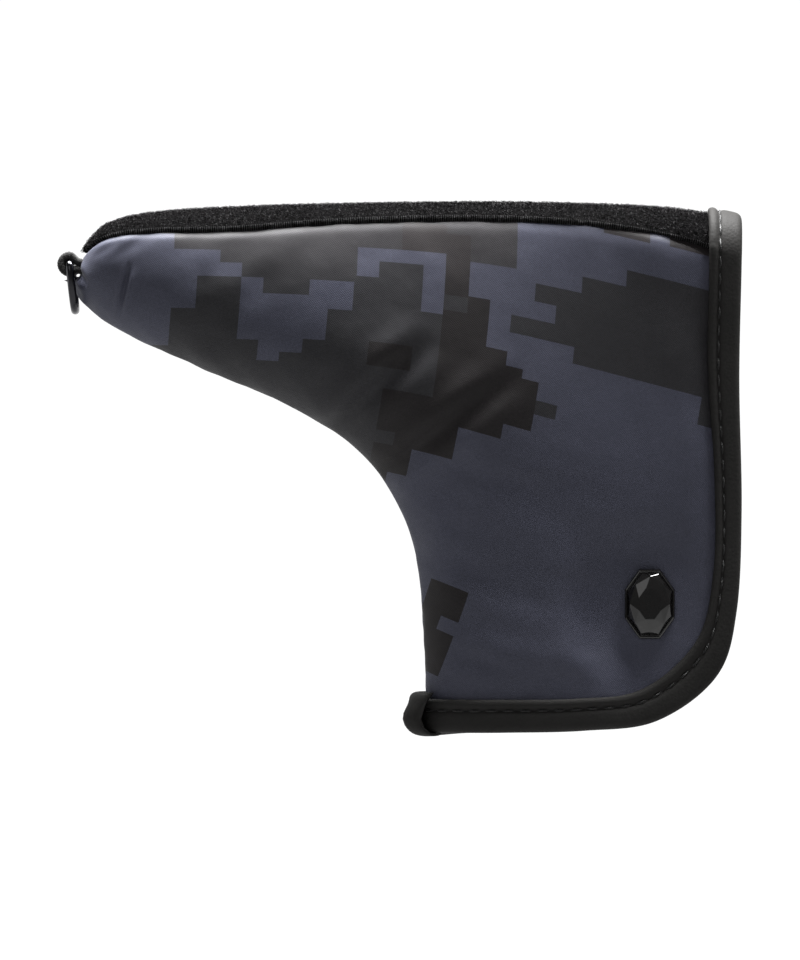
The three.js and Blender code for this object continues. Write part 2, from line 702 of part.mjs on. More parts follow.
const flap = solidOf(flapBinding()).intersect(flapSide);
add("front_flap_binding", geometryFrom(flap), bindingLeather);
add("back_flap_binding", mirrored(geometryFrom(flap)), bindingLeather);
add("crown_binding", geometryFrom(solidOf(crownBinding()).intersect(pouchSide)), bindingLeather);
add("neck_binding", geometryFrom(solidOf(neckBinding()).intersect(pouchSide)), bindingLeather);
add("binding_lap", lapBinding(), bindingLeather);

add("stud", stud(), blackEnamel);
add("stud_washer", washer(), plate);
add("front_magnet", magnet(), plate);
add("back_magnet", mirrored(magnet()), plate);
add("ring_tab", ringTab(), ribbon);
add("d_ring", dRing(), blackNickel);

export default cover;
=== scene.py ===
"""Blade putter head cover: padded printed panels, pile tape sole, bound mouth, stud and ring."""
import math

import bmesh
import bpy
import numpy as np
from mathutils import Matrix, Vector


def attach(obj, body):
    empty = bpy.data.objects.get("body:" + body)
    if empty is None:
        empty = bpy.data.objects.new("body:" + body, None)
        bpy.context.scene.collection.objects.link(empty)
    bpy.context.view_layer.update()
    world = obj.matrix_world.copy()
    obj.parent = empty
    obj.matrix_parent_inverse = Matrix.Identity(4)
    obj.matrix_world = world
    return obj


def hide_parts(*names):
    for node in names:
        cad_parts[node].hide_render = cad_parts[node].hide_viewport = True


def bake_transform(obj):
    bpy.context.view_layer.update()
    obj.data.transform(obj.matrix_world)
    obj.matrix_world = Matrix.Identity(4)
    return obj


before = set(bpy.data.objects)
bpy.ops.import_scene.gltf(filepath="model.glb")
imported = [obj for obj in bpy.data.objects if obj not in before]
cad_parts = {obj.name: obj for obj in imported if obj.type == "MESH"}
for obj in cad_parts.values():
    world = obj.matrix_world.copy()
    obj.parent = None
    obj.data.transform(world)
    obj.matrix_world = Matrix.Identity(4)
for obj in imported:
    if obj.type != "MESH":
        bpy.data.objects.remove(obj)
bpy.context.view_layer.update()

bl_info = {
    "name": "Blade Putter Head Cover",
    "version": (1, 0, 0),
    "blender": (4, 5, 0),
    "location": "3D View > Sidebar > Head Cover",
    "description": "Builds a padded blade putter head cover round its packed frame",
    "category": "Object",
}

MM = 0.001

# ---- The pouch's shape, in millimetres, as its frame has it ----

SHELL, PADDING, LINING = 0.7, 3.6, 1.0
LAYER_GAP = 0.3
SEAM_HALF = 0.0  # the two panels meet at the inner seam
MOUTH_PADDING = 1.5
SQUEEZE_RUN = 4.0
TAPE, SOLE_LINING = 1.5, 0.9
BINDING_WIDTH, BINDING_OVERHANG = 7.6, 1.3
STACK = SHELL + LAYER_GAP + MOUTH_PADDING + LAYER_GAP + LINING

STUD_AT = (31.25, 33.1)
DIMPLE_HALF, DIMPLE_FLAT, DIMPLE_RADIUS = 6.1, 11.0, 25.0

# Ribs from the toe's tip to the mouth: x and z on the inner seam, on the sole seam and on
# the sole's crest, the seam's distance from the middle plane, and the panel's belly.
RIBS = (
    ((-111.4, 115.0), (-110.6, 119.4), (-111.0, 119.7), 0.5, 0.1),
    ((-112.1, 110.4), (-108.2, 122.4), (-109.2, 123.4), 7.5, 1.2),
    ((-108.6, 106.2), (-102.8, 125.0), (-103.9, 128.2), 12.2, 2.0),
    ((-101.2, 101.0), (-92.5, 126.1), (-93.0, 130.9), 13.5, 2.6),
    ((-82.5, 92.3), (-72.0, 126.5), (-72.0, 132.3), 13.9, 3.6),
    ((-60.0, 82.8), (-45.0, 128.6), (-45.0, 133.1), 14.3, 4.6),
    ((-42.5, 71.8), (-12.0, 129.4), (-12.0, 133.5), 14.4, 4.9),
    ((-32.0, 57.8), (15.0, 128.0), (15.0, 133.1), 13.7, 4.3),
    ((-26.8, 40.0), (36.0, 124.5), (36.0, 132.1), 12.0, 3.2),
    ((-25.0, 2.1), (53.1, 119.8), (53.3, 129.6), 9.6, 0.0),
)
# The panel's edge round the mouth: x, z and its distance from the middle plane.
MOUTH = (
    (-25.0, 2.1, 10.2), (-5.0, 2.2, 10.4), (15.0, 2.7, 9.4), (32.8, 5.1, 6.9),
    (47.5, 16.1, 5.7), (52.4, 32.2, 5.7), (53.5, 58.0, 6.2), (52.7, 90.0, 7.6),
    (53.1, 119.8, 9.6),
)
MOUTH_ROUND = 0.11
CLOSING_FROM = 0.66
SEAM_SOFTNESS = 12.0
SEAM_CROWDING = 0.15


def curve_through(points):
    """A uniform Catmull-Rom curve through points, as a function of an array from 0 to 1."""
    p = np.array(points, float)
    p = np.vstack([2 * p[0] - p[1], p, 2 * p[-1] - p[-2]])
    spans = len(points) - 1

    def at(t):
        s = np.clip(np.asarray(t, float), 0, 1) * spans
        i = np.minimum(s.astype(int), spans - 1)
        w = (s - i)[..., None]
        a, b, c, d = (p[i + k] for k in range(4))
        return 0.5 * (2 * b + (c - a) * w + (2 * a - 5 * b + 4 * c - d) * w**2
                      + (3 * b - a - 3 * c + d) * w**3)

    return at


inner_curve = curve_through([(*r[0], 0.0) for r in RIBS])
seam_curve = curve_through([(*r[1], r[3]) for r in RIBS])
crest_curve = curve_through([(*r[2], r[4]) for r in RIBS])
mouth_curve = curve_through(MOUTH)


def smoothstep(x, low, high):
    t = np.clip((x - low) / (high - low), 0, 1)
    return t * t * (3 - 2 * t)


def lerp(a, b, t):
    return a + (b - a) * t


def bell(distance, width):
    return np.exp(-((distance / width) ** 2))


def unit(v):
    return v / np.maximum(np.linalg.norm(v, axis=-1, keepdims=True), 1e-12)


def crowd(q):
    """Crowds even steps towards the inner seam, where the panel's edge is round."""
    return q * q * (1 + SEAM_CROWDING) / (q + SEAM_CROWDING)


def round_edge(t, power):
    return np.sqrt(np.maximum(0, 1 - (1 - np.clip(t, 0, 1)) ** power))


def panel_point(u, v):
    """Points of the back panel's outer surface, y positive. v is 0 on the inner seam."""
    a, b, m = inner_curve(u), seam_curve(u), mouth_curve(v)
    a1, b1 = inner_curve(1.0), seam_curve(1.0)
    v1 = np.asarray(v, float)[..., None]
    place = lerp(a, b, v1)[..., :2]
    pull = (np.asarray(u, float) ** 3)[..., None]
    place = place + pull * (m - lerp(a1, b1, v1))[..., :2]
    length = np.linalg.norm((b - a)[..., :2], axis=-1)
    power = np.clip(length / SEAM_SOFTNESS, 2, 6)
    belly = crest_curve(u)[..., 2] * np.sin(np.pi * np.asarray(v) ** 0.85)
    opened = b[..., 2] * round_edge(v, power) + belly
    shut = m[..., 2] * round_edge(v / MOUTH_ROUND, 2) * b[..., 2] / b1[2]
    half = lerp(opened, shut, smoothstep(u, CLOSING_FROM, 1))
    far = np.hypot(place[..., 0] - STUD_AT[0], place[..., 1] - STUD_AT[1])
    half = lerp(DIMPLE_HALF, half, smoothstep(far, DIMPLE_FLAT, DIMPLE_RADIUS))
    return np.stack([place[..., 0], np.maximum(half, SEAM_HALF), place[..., 1]], -1)


def sole_point(u, s):
    """Points of the sole's surface. s is -1 on the front seam and 1 on the back seam."""
    seam, crest = seam_curve(u), crest_curve(u)
    rise = np.linalg.norm((crest - seam)[..., :2], axis=-1)
    angle = 2 * np.arctan(rise / seam[..., 2])
    up = (np.cos(angle * s) - np.cos(angle)) / (1 - np.cos(angle))
    y = seam[..., 2] * np.sin(angle * s) / np.sin(angle)
    return np.stack([
        lerp(seam[..., 0], crest[..., 0], up), y, lerp(seam[..., 1], crest[..., 1], up),
    ], -1)


def grid_normals(points, outward):
    """Unit normals of a grid of points, turned to the side that outward points to."""
    n = unit(np.cross(np.gradient(points, axis=0), np.gradient(points, axis=1)))
    middle = n[n.shape[0] // 2, n.shape[1] // 2]
    return n if middle @ np.array(outward, float) > 0 else -n


# ---- Soft relief: seams that draw the cloth in, puckers and folds ----

# Folds pressed into the padded cloth: from x, z to x, z, then width and depth.
FOLDS = (
    (-24.0, 98.5, -50.0, 74.0, 3.0, 1.9),
    (-2.0, 90.0, -38.5, 63.0, 2.7, 1.4),
    (-34.0, 97.0, -56.0, 82.0, 3.0, 0.35),
    (-14.0, 72.0, -30.0, 55.0, 4.0, 0.45),
    (-98.2, 117.6, -100.8, 105.8, 0.6, 0.8),
    (-96.6, 116.5, -99.2, 107.0, 1.0, -0.25),
    (-112.4, 117.4, -109.0, 112.4, 0.9, 0.7),
    (-90.0, 114.0, -92.0, 100.0, 3.0, 0.3),
    (-79.2, 116.5, -80.4, 106.0, 1.5, 0.2),
    (-58.0, 110.0, -66.0, 90.0, 4.0, 0.25),
    (-18.0, 66.0, 12.0, 57.0, 4.0, 0.45),
    (-17.0, 41.0, 6.0, 33.0, 3.0, 0.5),
    (-18.0, 20.5, -3.0, 16.5, 2.0, 0.35),
)


def fold_depth(x, z):
    total = np.zeros_like(x)
    for x0, z0, x1, z1, width, depth in FOLDS:
        run = np.array([x1 - x0, z1 - z0])
        length = np.linalg.norm(run)
        run /= length
        along = (x - x0) * run[0] + (z - z0) * run[1]
        off = (x - x0) * run[1] - (z - z0) * run[0]
        taper = smoothstep(along, -0.1 * length, 0.35 * length)
        taper = taper * (1 - smoothstep(along, 0.7 * length, 1.15 * length))
        ridge = 0.55 * bell(off - 1.9 * width, 1.2 * width)
        ridge += 0.35 * bell(off + 1.9 * width, 1.2 * width)
        total += depth * taper * (ridge - bell(off, width))
    return total


def waves(along, length, seed):
    """Uneven ripples along a seam, between -1 and 1."""
    k = 2 * np.pi / length
    return (0.5 * np.sin(k * along + seed) + 0.3 * np.sin(1.7 * k * along + 2.1 * seed)
            + 0.2 * np.sin(0.53 * k * along + 3.7 * seed))


def panel_relief(points, u, v, seed, folded):
    """How far the cloth stands out from the plain surface, in millimetres. folded is how
    deep the pressed folds are."""
    x, y, z = points[..., 0], points[..., 1], points[..., 2]
    rib = np.linalg.norm((seam_curve(u) - inner_curve(u))[..., :2], axis=-1)
    to_sole = (1 - v) * rib
    to_mouth = np.linalg.norm(points - points[-1:], axis=-1)
    inside = to_mouth - BINDING_WIDTH
    out = -0.9 * bell(to_sole, 1.2) - 1.1 * bell(y, 1.8) * (v < 0.5)
    out += 0.14 * np.exp(-to_sole / 6) * waves(x, 15.0, seed)
    out += 0.16 * np.exp(-np.maximum(y, 0) / 7) * waves(x + z, 8.3, seed + 1) * (v < 0.5)
    edge = np.exp(-np.maximum(inside, 0) / 6) * smoothstep(inside, -2, 1.5)
    out += edge * (0.22 * waves(x - z, 11.0, seed + 2) - 0.35)
    out += 0.5 * bell(inside - 11, 8) * (v > 0.12)
    neck = smoothstep(x, -30, -12) * (1 - smoothstep(x, 10, 40)) * (1 - smoothstep(z, 60, 85))
    out += 0.16 * neck * waves(z + 0.2 * x, 13.0, seed + 3)
    flat = smoothstep(np.hypot(x - STUD_AT[0], z - STUD_AT[1]), DIMPLE_FLAT - 2, DIMPLE_FLAT + 5)
    # Folds fade out at the inner seam, but not at the toe's tip.
    clear = lerp(smoothstep(y, 1, 9), 1.0, smoothstep(-x, 104, 108))
    return (out + folded * fold_depth(x, z) * clear) * flat


# ---- Wrinkles that the cloth takes up by itself, from a simulation ----

SIM_ROWS, SIM_COLUMNS, SIM_FRAMES = 84, 40, 20
SIM_SCALE = 10.0  # the solver steps badly at the cloth's real size
SIM_PRESSURE, SIM_STIFFNESS, SIM_SLACK = 4.0, 40.0, 0.02
WRINKLE_SHARE, WRINKLE_LIMIT = 0.45, 0.6
SWELL_SHARE, SWELL_LIMIT = 0.2, 0.6


def blurred(grid, passes=30):
    for _ in range(passes):
        p = np.pad(grid, 1, mode="edge")
        around = p[:-2, 1:-1] + p[2:, 1:-1] + p[1:-1, :-2] + p[1:-1, 2:]
        grid = (around + 2 * grid) / 6
    return grid


def resampled(grid, rows, columns):
    """A grid of values on another number of rows and columns, over the same square."""
    u, q = (np.linspace(0, 1, n) for n in grid.shape)
    tall = np.stack([np.interp(np.linspace(0, 1, rows), u, c) for c in grid.T], -1)
    return np.stack([np.interp(np.linspace(0, 1, columns), q, r) for r in tall])


def simulate_cloth(points, free, slack):
    """Where a cloth through points settles when air presses it from within. free is 0
    where the cloth is sewn down and 1 where it moves."""
    scene = bpy.context.scene
    mesh = bpy.data.meshes.new("cloth")
    size = MM * SIM_SCALE
    mesh.from_pydata((points.reshape(-1, 3) * size).tolist(), [], quads(*points.shape[:2]))
    mesh.update()
    if mesh.polygons[len(mesh.polygons) // 2].normal.y < 0:
        mesh.flip_normals()
    obj = bpy.data.objects.new("cloth", mesh)
    scene.collection.objects.link(obj)
    pins = obj.vertex_groups.new(name="pins")
    for i in np.where(free.ravel() < 0.999)[0]:
        pins.add([int(i)], float(1 - free.ravel()[i]), "REPLACE")
    cloth = obj.modifiers.new("cloth", "CLOTH")
    fabric = cloth.settings
    fabric.quality, fabric.mass = 6, 0.2
    fabric.tension_stiffness = fabric.compression_stiffness = SIM_STIFFNESS
    fabric.shear_stiffness, fabric.bending_stiffness = 6.0, 0.5
    fabric.vertex_group_mass = "pins"
    fabric.use_pressure, fabric.uniform_pressure_force = True, SIM_PRESSURE
    fabric.shrink_min = -slack
    fabric.effector_weights.gravity = 0.0
    cloth.collision_settings.use_collision = False
    cloth.point_cache.frame_start, cloth.point_cache.frame_end = 1, SIM_FRAMES
    for frame_number in range(1, SIM_FRAMES + 1):
        scene.frame_set(frame_number)
    settled = np.empty(len(mesh.vertices) * 3)
    evaluated = obj.evaluated_get(bpy.context.evaluated_depsgraph_get())
    evaluated.data.vertices.foreach_get("co", settled)
    scene.frame_set(1)
    bpy.data.objects.remove(obj)
    bpy.data.meshes.remove(mesh)
    return settled.reshape(points.shape) / size


def cloth_relief(slack):
    """How far the settled cloth stands out, on the panel's own grid, in millimetres."""
    u, q = np.meshgrid(np.linspace(0, 1, SIM_ROWS), np.linspace(0, 1, SIM_COLUMNS), indexing="ij")
    base = panel_point(u, crowd(q))
    edge = np.linalg.norm(base - base[-1:], axis=-1)
    free = smoothstep(edge, BINDING_WIDTH, BINDING_WIDTH + SQUEEZE_RUN)
    free[0] = free[:, 0] = free[:, -1] = 0
    far = np.hypot(base[..., 0] - STUD_AT[0], base[..., 2] - STUD_AT[1])
    free *= smoothstep(far, DIMPLE_FLAT, DIMPLE_FLAT + 7)
    moved = simulate_cloth(base, free, slack) - base
    out = np.sum(moved * grid_normals(base, (0, 1, 0)), -1)
    swell = blurred(out)
    wrinkle = np.clip((out - swell) * WRINKLE_SHARE, -WRINKLE_LIMIT, WRINKLE_LIMIT)
    total = wrinkle + np.clip(swell * SWELL_SHARE, 0, SWELL_LIMIT)
    return resampled(blurred(total, 2), ROWS, COLUMNS)


# ---- Meshes ----


def mesh_object(name, points, faces, materials, face_slots=None, uv=None):
    """A mesh object from points in millimetres. uv is one pair for each point."""
    mesh = bpy.data.meshes.new(name)
    mesh.from_pydata((np.asarray(points) * MM).tolist(), [], faces)
    for material in materials:
        mesh.materials.append(material)
    if face_slots is not None:
        mesh.polygons.foreach_set("material_index", np.asarray(face_slots, np.int32))
    if uv is not None:
        layer = mesh.uv_layers.new(name="print")
        corners = np.empty(len(mesh.loops), np.int32)
        mesh.loops.foreach_get("vertex_index", corners)
        layer.data.foreach_set("uv", np.asarray(uv, np.float32)[corners].ravel())
    mesh.validate()
    mesh.update()
    obj = bpy.data.objects.new(name, mesh)
    bpy.context.scene.collection.objects.link(obj)
    face_outwards(obj)
    mesh.shade_smooth()
    return obj


def face_outwards(obj):
    bm = bmesh.new()
    bm.from_mesh(obj.data)
    bmesh.ops.recalc_face_normals(bm, faces=bm.faces)
    if bm.calc_volume(signed=True) < 0:
        bmesh.ops.reverse_faces(bm, faces=bm.faces)
    bm.to_mesh(obj.data)
    bm.free()


def quads(rows, columns, wrap=False, start=0):
    """Faces of a grid of points, rows by columns, closed on itself across if wrap."""
    faces = []
    last = columns if wrap else columns - 1
    for i in range(rows - 1):
        for j in range(last):
            a, d = start + i * columns + j, start + i * columns + (j + 1) % columns
            faces.append((a, a + columns, d + columns, d))
    return faces


def slab_object(name, outer, inner, materials, uv=None):
    """The closed solid between two grids of points. Slot 0 is outside, slot 1 elsewhere."""
    rows, columns = outer.shape[:2]
    layer = rows * columns
    faces = quads(rows, columns)
    slots = [0] * len(faces)
    faces += [tuple(layer + k for k in reversed(f)) for f in faces]
    rim = [(i, 0) for i in range(rows)] + [(rows - 1, j) for j in range(1, columns)]
    rim += [(i, columns - 1) for i in range(rows - 2, -1, -1)]
    rim += [(0, j) for j in range(columns - 2, 0, -1)]
    loop = [i * columns + j for i, j in rim]
    for a, b in zip(loop, loop[1:] + loop[:1]):
        faces.append((a, b, layer + b, layer + a))
    slots += [1] * (len(faces) - len(slots))
    points = np.concatenate([outer.reshape(-1, 3), inner.reshape(-1, 3)])
    both = None if uv is None else np.concatenate([uv.reshape(-1, 2)] * 2)
    return mesh_object(name, points, faces, materials, slots, both)


def sweep_object(name, loops, materials, closed=False, uv=None):
    """A solid through closed loops of points, with flat ends unless it closes on itself."""
    rows, n = loops.shape[:2]
    faces = quads(rows, n, wrap=True)
    if closed:
        last = (rows - 1) * n
        faces += [(last + j, j, (j + 1) % n, last + (j + 1) % n) for j in range(n)]
    else:
        faces += [tuple(range(n)), tuple((rows - 1) * n + j for j in reversed(range(n)))]
    return mesh_object(name, loops.reshape(-1, 3), faces, materials, uv=uv)


def tube_loops(path, across, radius_a, radius_b, sides, closed=False):
    """Elliptic sections along a path. across is a direction square to the path."""
    path = np.asarray(path, float)
    if closed:
        tangent = np.roll(path, -1, 0) - np.roll(path, 1, 0)
    else:
        tangent = np.gradient(path, axis=0)
    tangent = unit(tangent)
    across = unit(np.broadcast_to(np.asarray(across, float), path.shape))
    across = unit(across - tangent * np.sum(tangent * across, -1, keepdims=True))
    other = np.cross(tangent, across)
    angle = np.linspace(0, 2 * np.pi, sides, endpoint=False)
    return (path[:, None] + radius_a * np.cos(angle)[None, :, None] * across[:, None]
            + radius_b * np.sin(angle)[None, :, None] * other[:, None])


def mirrored(points):
    return points * np.array([1.0, -1.0, 1.0])


# ---- Panels ----

ROWS, COLUMNS = 250, 96
TIP_FOAM, TIP_RUN = 0.1, 0.08


class Panel:
    """Grids of one panel's surfaces. side is -1 for the front and 1 for the back."""

    def __init__(self, side, seed, folded, slack):
        u = np.linspace(0, 1, ROWS)
        q = np.linspace(0, 1, COLUMNS)
        self.u, self.q = np.meshgrid(u, q, indexing="ij")
        self.v = crowd(self.q)
        self.side = side
        base = panel_point(self.u, self.v)
        normal = grid_normals(base, (0, 1, 0))
        along = unit(np.gradient(base[:, 0], axis=0))
        seam_out = -unit(np.cross(along, np.array([0.0, 1.0, 0.0])))
        inside_way = inner_to_sole(u)
        flip = np.sign(np.sum(seam_out * inside_way, -1, keepdims=True))
        normal[:, 0] = -seam_out * flip
        self.normal = normal
        mitre = self.mitre(u)
        share = smoothstep(self.q, 0.8, 1)[..., None]
        self.inward = lerp(-normal, mitre[:, None], share)
        self.base = base
        self.relief = panel_relief(base, self.u, self.v, seed, folded) + cloth_relief(slack)
        edge = np.linalg.norm(base - base[-1:], axis=-1)
        squeezed = smoothstep(edge, BINDING_WIDTH, BINDING_WIDTH + SQUEEZE_RUN)
        self.padding = lerp(MOUTH_PADDING, PADDING, squeezed)

    def mitre(self, u):
        """Inward direction that the panel shares with the sole along their seam."""
        s = np.linspace(-1, 1, 41)
        grid = sole_point(*np.meshgrid(u, s, indexing="ij"))
        sole = grid_normals(grid, (0, 0, 1))[:, -1]
        panel = self.normal[:, -1]
        dot = np.sum(sole * panel, -1, keepdims=True)
        return -(sole + panel) / np.maximum(1 + dot, 0.6)

    def at_depth(self, depth, with_relief):
        out = self.base + self.inward * np.asarray(depth)[..., None]
        if with_relief:
            out = out + self.normal * self.relief[..., None]
        out[..., 1] = np.maximum(out[..., 1], SEAM_HALF)
        return out if self.side > 0 else mirrored(out)


def inner_to_sole(u):
    d = (seam_curve(u) - inner_curve(u))[..., :2]
    return unit(np.stack([d[..., 0], np.zeros(len(d)), d[..., 1]], -1))


def print_coordinates(x, z):
    """Where a point lies on the printed cloth, in blocks of the print. The cloth is eased
    round the bend between toe and neck, so the blocks lean more towards the neck."""
    lean = 0.07 * (z - 100) - 0.00175 * ((110 - z) ** 2 - 100)
    drop = 0.125 * ((x + 25) + np.sqrt((x + 25) ** 2 + 45**2))
    turn = 0.0035 * (110 - z) * 30 * np.tanh((x + 18) / 30)
    return np.stack([(x - lean) / 5.5, (z + 0.5 + drop + turn) / 4.25], -1)


def blend_over_crease(piece):
    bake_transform(piece)


def build_panel(side, looks):
    name, flap = ("front", "front_flap") if side < 0 else ("back", "back_flap")
    panel = Panel(side, 1.3, 1.0, SIM_SLACK) if side < 0 else Panel(side, 4.1, 0.5, SIM_SLACK * 1.2)
    outer = panel.at_depth(0.0, True)
    # The foam thins out towards the toe's tip, where the seams leave it no room.
    room = lerp(TIP_FOAM, 1.0, smoothstep(panel.u, 0.0, TIP_RUN))
    inner = panel.at_depth((SHELL + LAYER_GAP + panel.padding) * room, False)
    x, z = outer[..., 0], outer[..., 2]
    uv = print_coordinates(x, z) + (np.array([0.0, 0.0]) if side < 0 else np.array([4.5, 0.7]))
    body = slab_object(f"{name}_panel", outer, inner, [looks["print"], looks["foam"]], uv)
    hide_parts(f"{name}_shell", f"{flap}_shell", f"{name}_padding", f"{flap}_padding")
    blend_over_crease(body)
    depth = SHELL + LAYER_GAP + panel.padding + LAYER_GAP
    near, far = panel.at_depth(depth, False), panel.at_depth(depth + LINING, False)
    skip = 18
    lining = slab_object(f"{name}_fleece", far[skip:], near[skip:], [looks["fleece"]] * 2)
    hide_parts(f"{name}_lining", f"{flap}_lining")
    blend_over_crease(lining)
    return panel


# ---- Sole ----

SOLE_FROM = 0.05
SELVAGE = 0.07  # share of the tape's half width that is woven, without pile


def build_sole(looks, density):
    u, s = np.meshgrid(np.linspace(SOLE_FROM, 1, 220), np.linspace(-1, 1, 49), indexing="ij")
    base = sole_point(u, s)
    normal = grid_normals(base, (0, 0, 1))
    edge = 1 - np.abs(s)
    woven = 1 - smoothstep(edge, SELVAGE - 0.02, SELVAGE + 0.03)
    lump = waves(base[..., 0] * 1.0 + 7 * s, 5.0, 0.7) * waves(14 * s, 6.0, 2.2)
    out = lerp(0.15 * lump - 0.2, 0.1, woven) - 1.0 * bell(edge, 0.02)
    keep = smoothstep(u, SOLE_FROM, SOLE_FROM + 0.04)
    top = base + normal * (out * keep)[..., None]
    bottom = base - normal * TAPE
    uv = np.stack([base[..., 0] / 10, s], -1)
    tape = slab_object("sole_tape_cloth", top, bottom, [looks["tape"]] * 2, uv)
    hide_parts("sole_tape")
    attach(tape, "pouch")
    low = base - normal * (TAPE + LAYER_GAP)
    lining = slab_object(
        "sole_fleece", low - normal * SOLE_LINING, low, [looks["fleece"]] * 2,
    )
    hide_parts("sole_lining")
    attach(lining, "pouch")
    build_pile(top, edge, looks, density)


def build_pile(top, edge, looks, density):
    """Loop pile, scattered over the tape between its selvages."""
    rows = np.where(edge[0] > SELVAGE)[0]
    middle = top.shape[1] // 2
    tree = pile_tree()
    for name, first, last in (("front", rows[0], middle), ("back", middle, rows[-1])):
        patch = top[:, first:last + 1]
        carrier = mesh_object(
            f"{name}_sole_pile", patch.reshape(-1, 3), quads(*patch.shape[:2]), [],
        )
        up = carrier.data.polygons[len(carrier.data.polygons) // 2].normal.z
        if up < 0:
            carrier.data.flip_normals()
        run_nodes(carrier, tree, {
            "Density": density, "Loop size": 0.85 * MM, "Thread radius": 0.036 * MM,
            "Seed": 7 if first < middle else 11, "Material": looks["pile"],
        })
        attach(carrier, "pouch")


# ---- Geometry Nodes ----


def new_tree(name, inputs):
    tree = bpy.data.node_groups.new(name, "GeometryNodeTree")
    face = tree.interface
    face.new_socket("Geometry", in_out="INPUT", socket_type="NodeSocketGeometry")
    for label, kind in inputs:
        face.new_socket(label, in_out="INPUT", socket_type=kind)
    face.new_socket("Geometry", in_out="OUTPUT", socket_type="NodeSocketGeometry")
    return tree


def node(tree, kind, links=None, **settings):
    """Adds a node, sets its properties and links or sets its inputs by name or number."""
    made = tree.nodes.new(kind)
    for key, value in settings.items():
        setattr(made, key, value)
    for key, value in (links or {}).items():
        socket = made.inputs[key]
        if isinstance(value, bpy.types.NodeSocket):
            tree.links.new(value, socket)
        else:
            socket.default_value = value
    return made


def run_nodes(obj, tree, values):
    """Runs a tree on obj, and keeps the result as its plain mesh."""
    modifier = obj.modifiers.new("build", "NODES")
    modifier.node_group = tree
    for item in tree.interface.items_tree:
        if item.item_type == "SOCKET" and item.in_out == "INPUT" and item.name in values:
            modifier[item.identifier] = values[item.name]
    bpy.context.view_layer.update()
    evaluated = obj.evaluated_get(bpy.context.evaluated_depsgraph_get())
    made = bpy.data.meshes.new_from_object(evaluated)
    obj.modifiers.remove(modifier)
    old = obj.data
    obj.data = made
    bpy.data.meshes.remove(old)
    if not made.polygons:
        raise RuntimeError(f"{obj.name}: its nodes made no faces")
    made.shade_smooth()


def pile_tree():
    tree = new_tree("Loop pile", [
        ("Density", "NodeSocketFloat"), ("Loop size", "NodeSocketFloat"),
        ("Thread radius", "NodeSocketFloat"), ("Seed", "NodeSocketInt"),
        ("Material", "NodeSocketMaterial"),
    ])
    given = node(tree, "NodeGroupInput").outputs
    points = node(tree, "GeometryNodeDistributePointsOnFaces", {
        "Mesh": given["Geometry"], "Density": given["Density"], "Seed": given["Seed"],
    })
    start = node(tree, "ShaderNodeCombineXYZ", {0: -0.5, 2: -0.2})
    top = node(tree, "ShaderNodeCombineXYZ", {0: 0.15, 1: 0.45, 2: 1.25})
    end = node(tree, "ShaderNodeCombineXYZ", {0: 0.5, 1: 0.2, 2: -0.15})
    arc = node(tree, "GeometryNodeCurveQuadraticBezier", {
        "Resolution": 3, "Start": start.outputs[0], "Middle": top.outputs[0],
        "End": end.outputs[0],
    })
    sized = node(tree, "GeometryNodeTransform", {
        "Geometry": arc.outputs[0], "Scale": given["Loop size"],
    })
    ring = node(tree, "GeometryNodeCurvePrimitiveCircle", {
        "Resolution": 3, "Radius": given["Thread radius"],
    }, mode="RADIUS")
    thread = node(tree, "GeometryNodeCurveToMesh", {
        "Curve": sized.outputs[0], "Profile Curve": ring.outputs[0],
    })
    turn = node(tree, "FunctionNodeRandomValue", {
        "Min": (-0.7, -0.7, 0.0), "Max": (0.7, 0.7, 6.283), "Seed": given["Seed"],
    }, data_type="FLOAT_VECTOR")
    as_turn = node(tree, "FunctionNodeEulerToRotation", {0: turn.outputs[0]})
    facing = node(tree, "FunctionNodeRotateRotation", {
        "Rotation": points.outputs["Rotation"], "Rotate By": as_turn.outputs[0],
    }, rotation_space="LOCAL")
    size = node(tree, "FunctionNodeRandomValue", {
        "Min": 0.6, "Max": 1.25, "Seed": given["Seed"],
    }, data_type="FLOAT")
    size_out = [o for o in size.outputs if o.enabled][0]
    copies = node(tree, "GeometryNodeInstanceOnPoints", {
        "Points": points.outputs["Points"], "Instance": thread.outputs[0],
        "Rotation": facing.outputs[0], "Scale": size_out,
    })
    finish_tree(tree, copies.outputs[0], given["Material"])
    return tree


def finish_tree(tree, geometry, material):
    real = node(tree, "GeometryNodeRealizeInstances", {"Geometry": geometry})
    shaded = node(tree, "GeometryNodeSetMaterial", {
        "Geometry": real.outputs[0], "Material": material,
    })
    node(tree, "NodeGroupOutput", {"Geometry": shaded.outputs[0]})


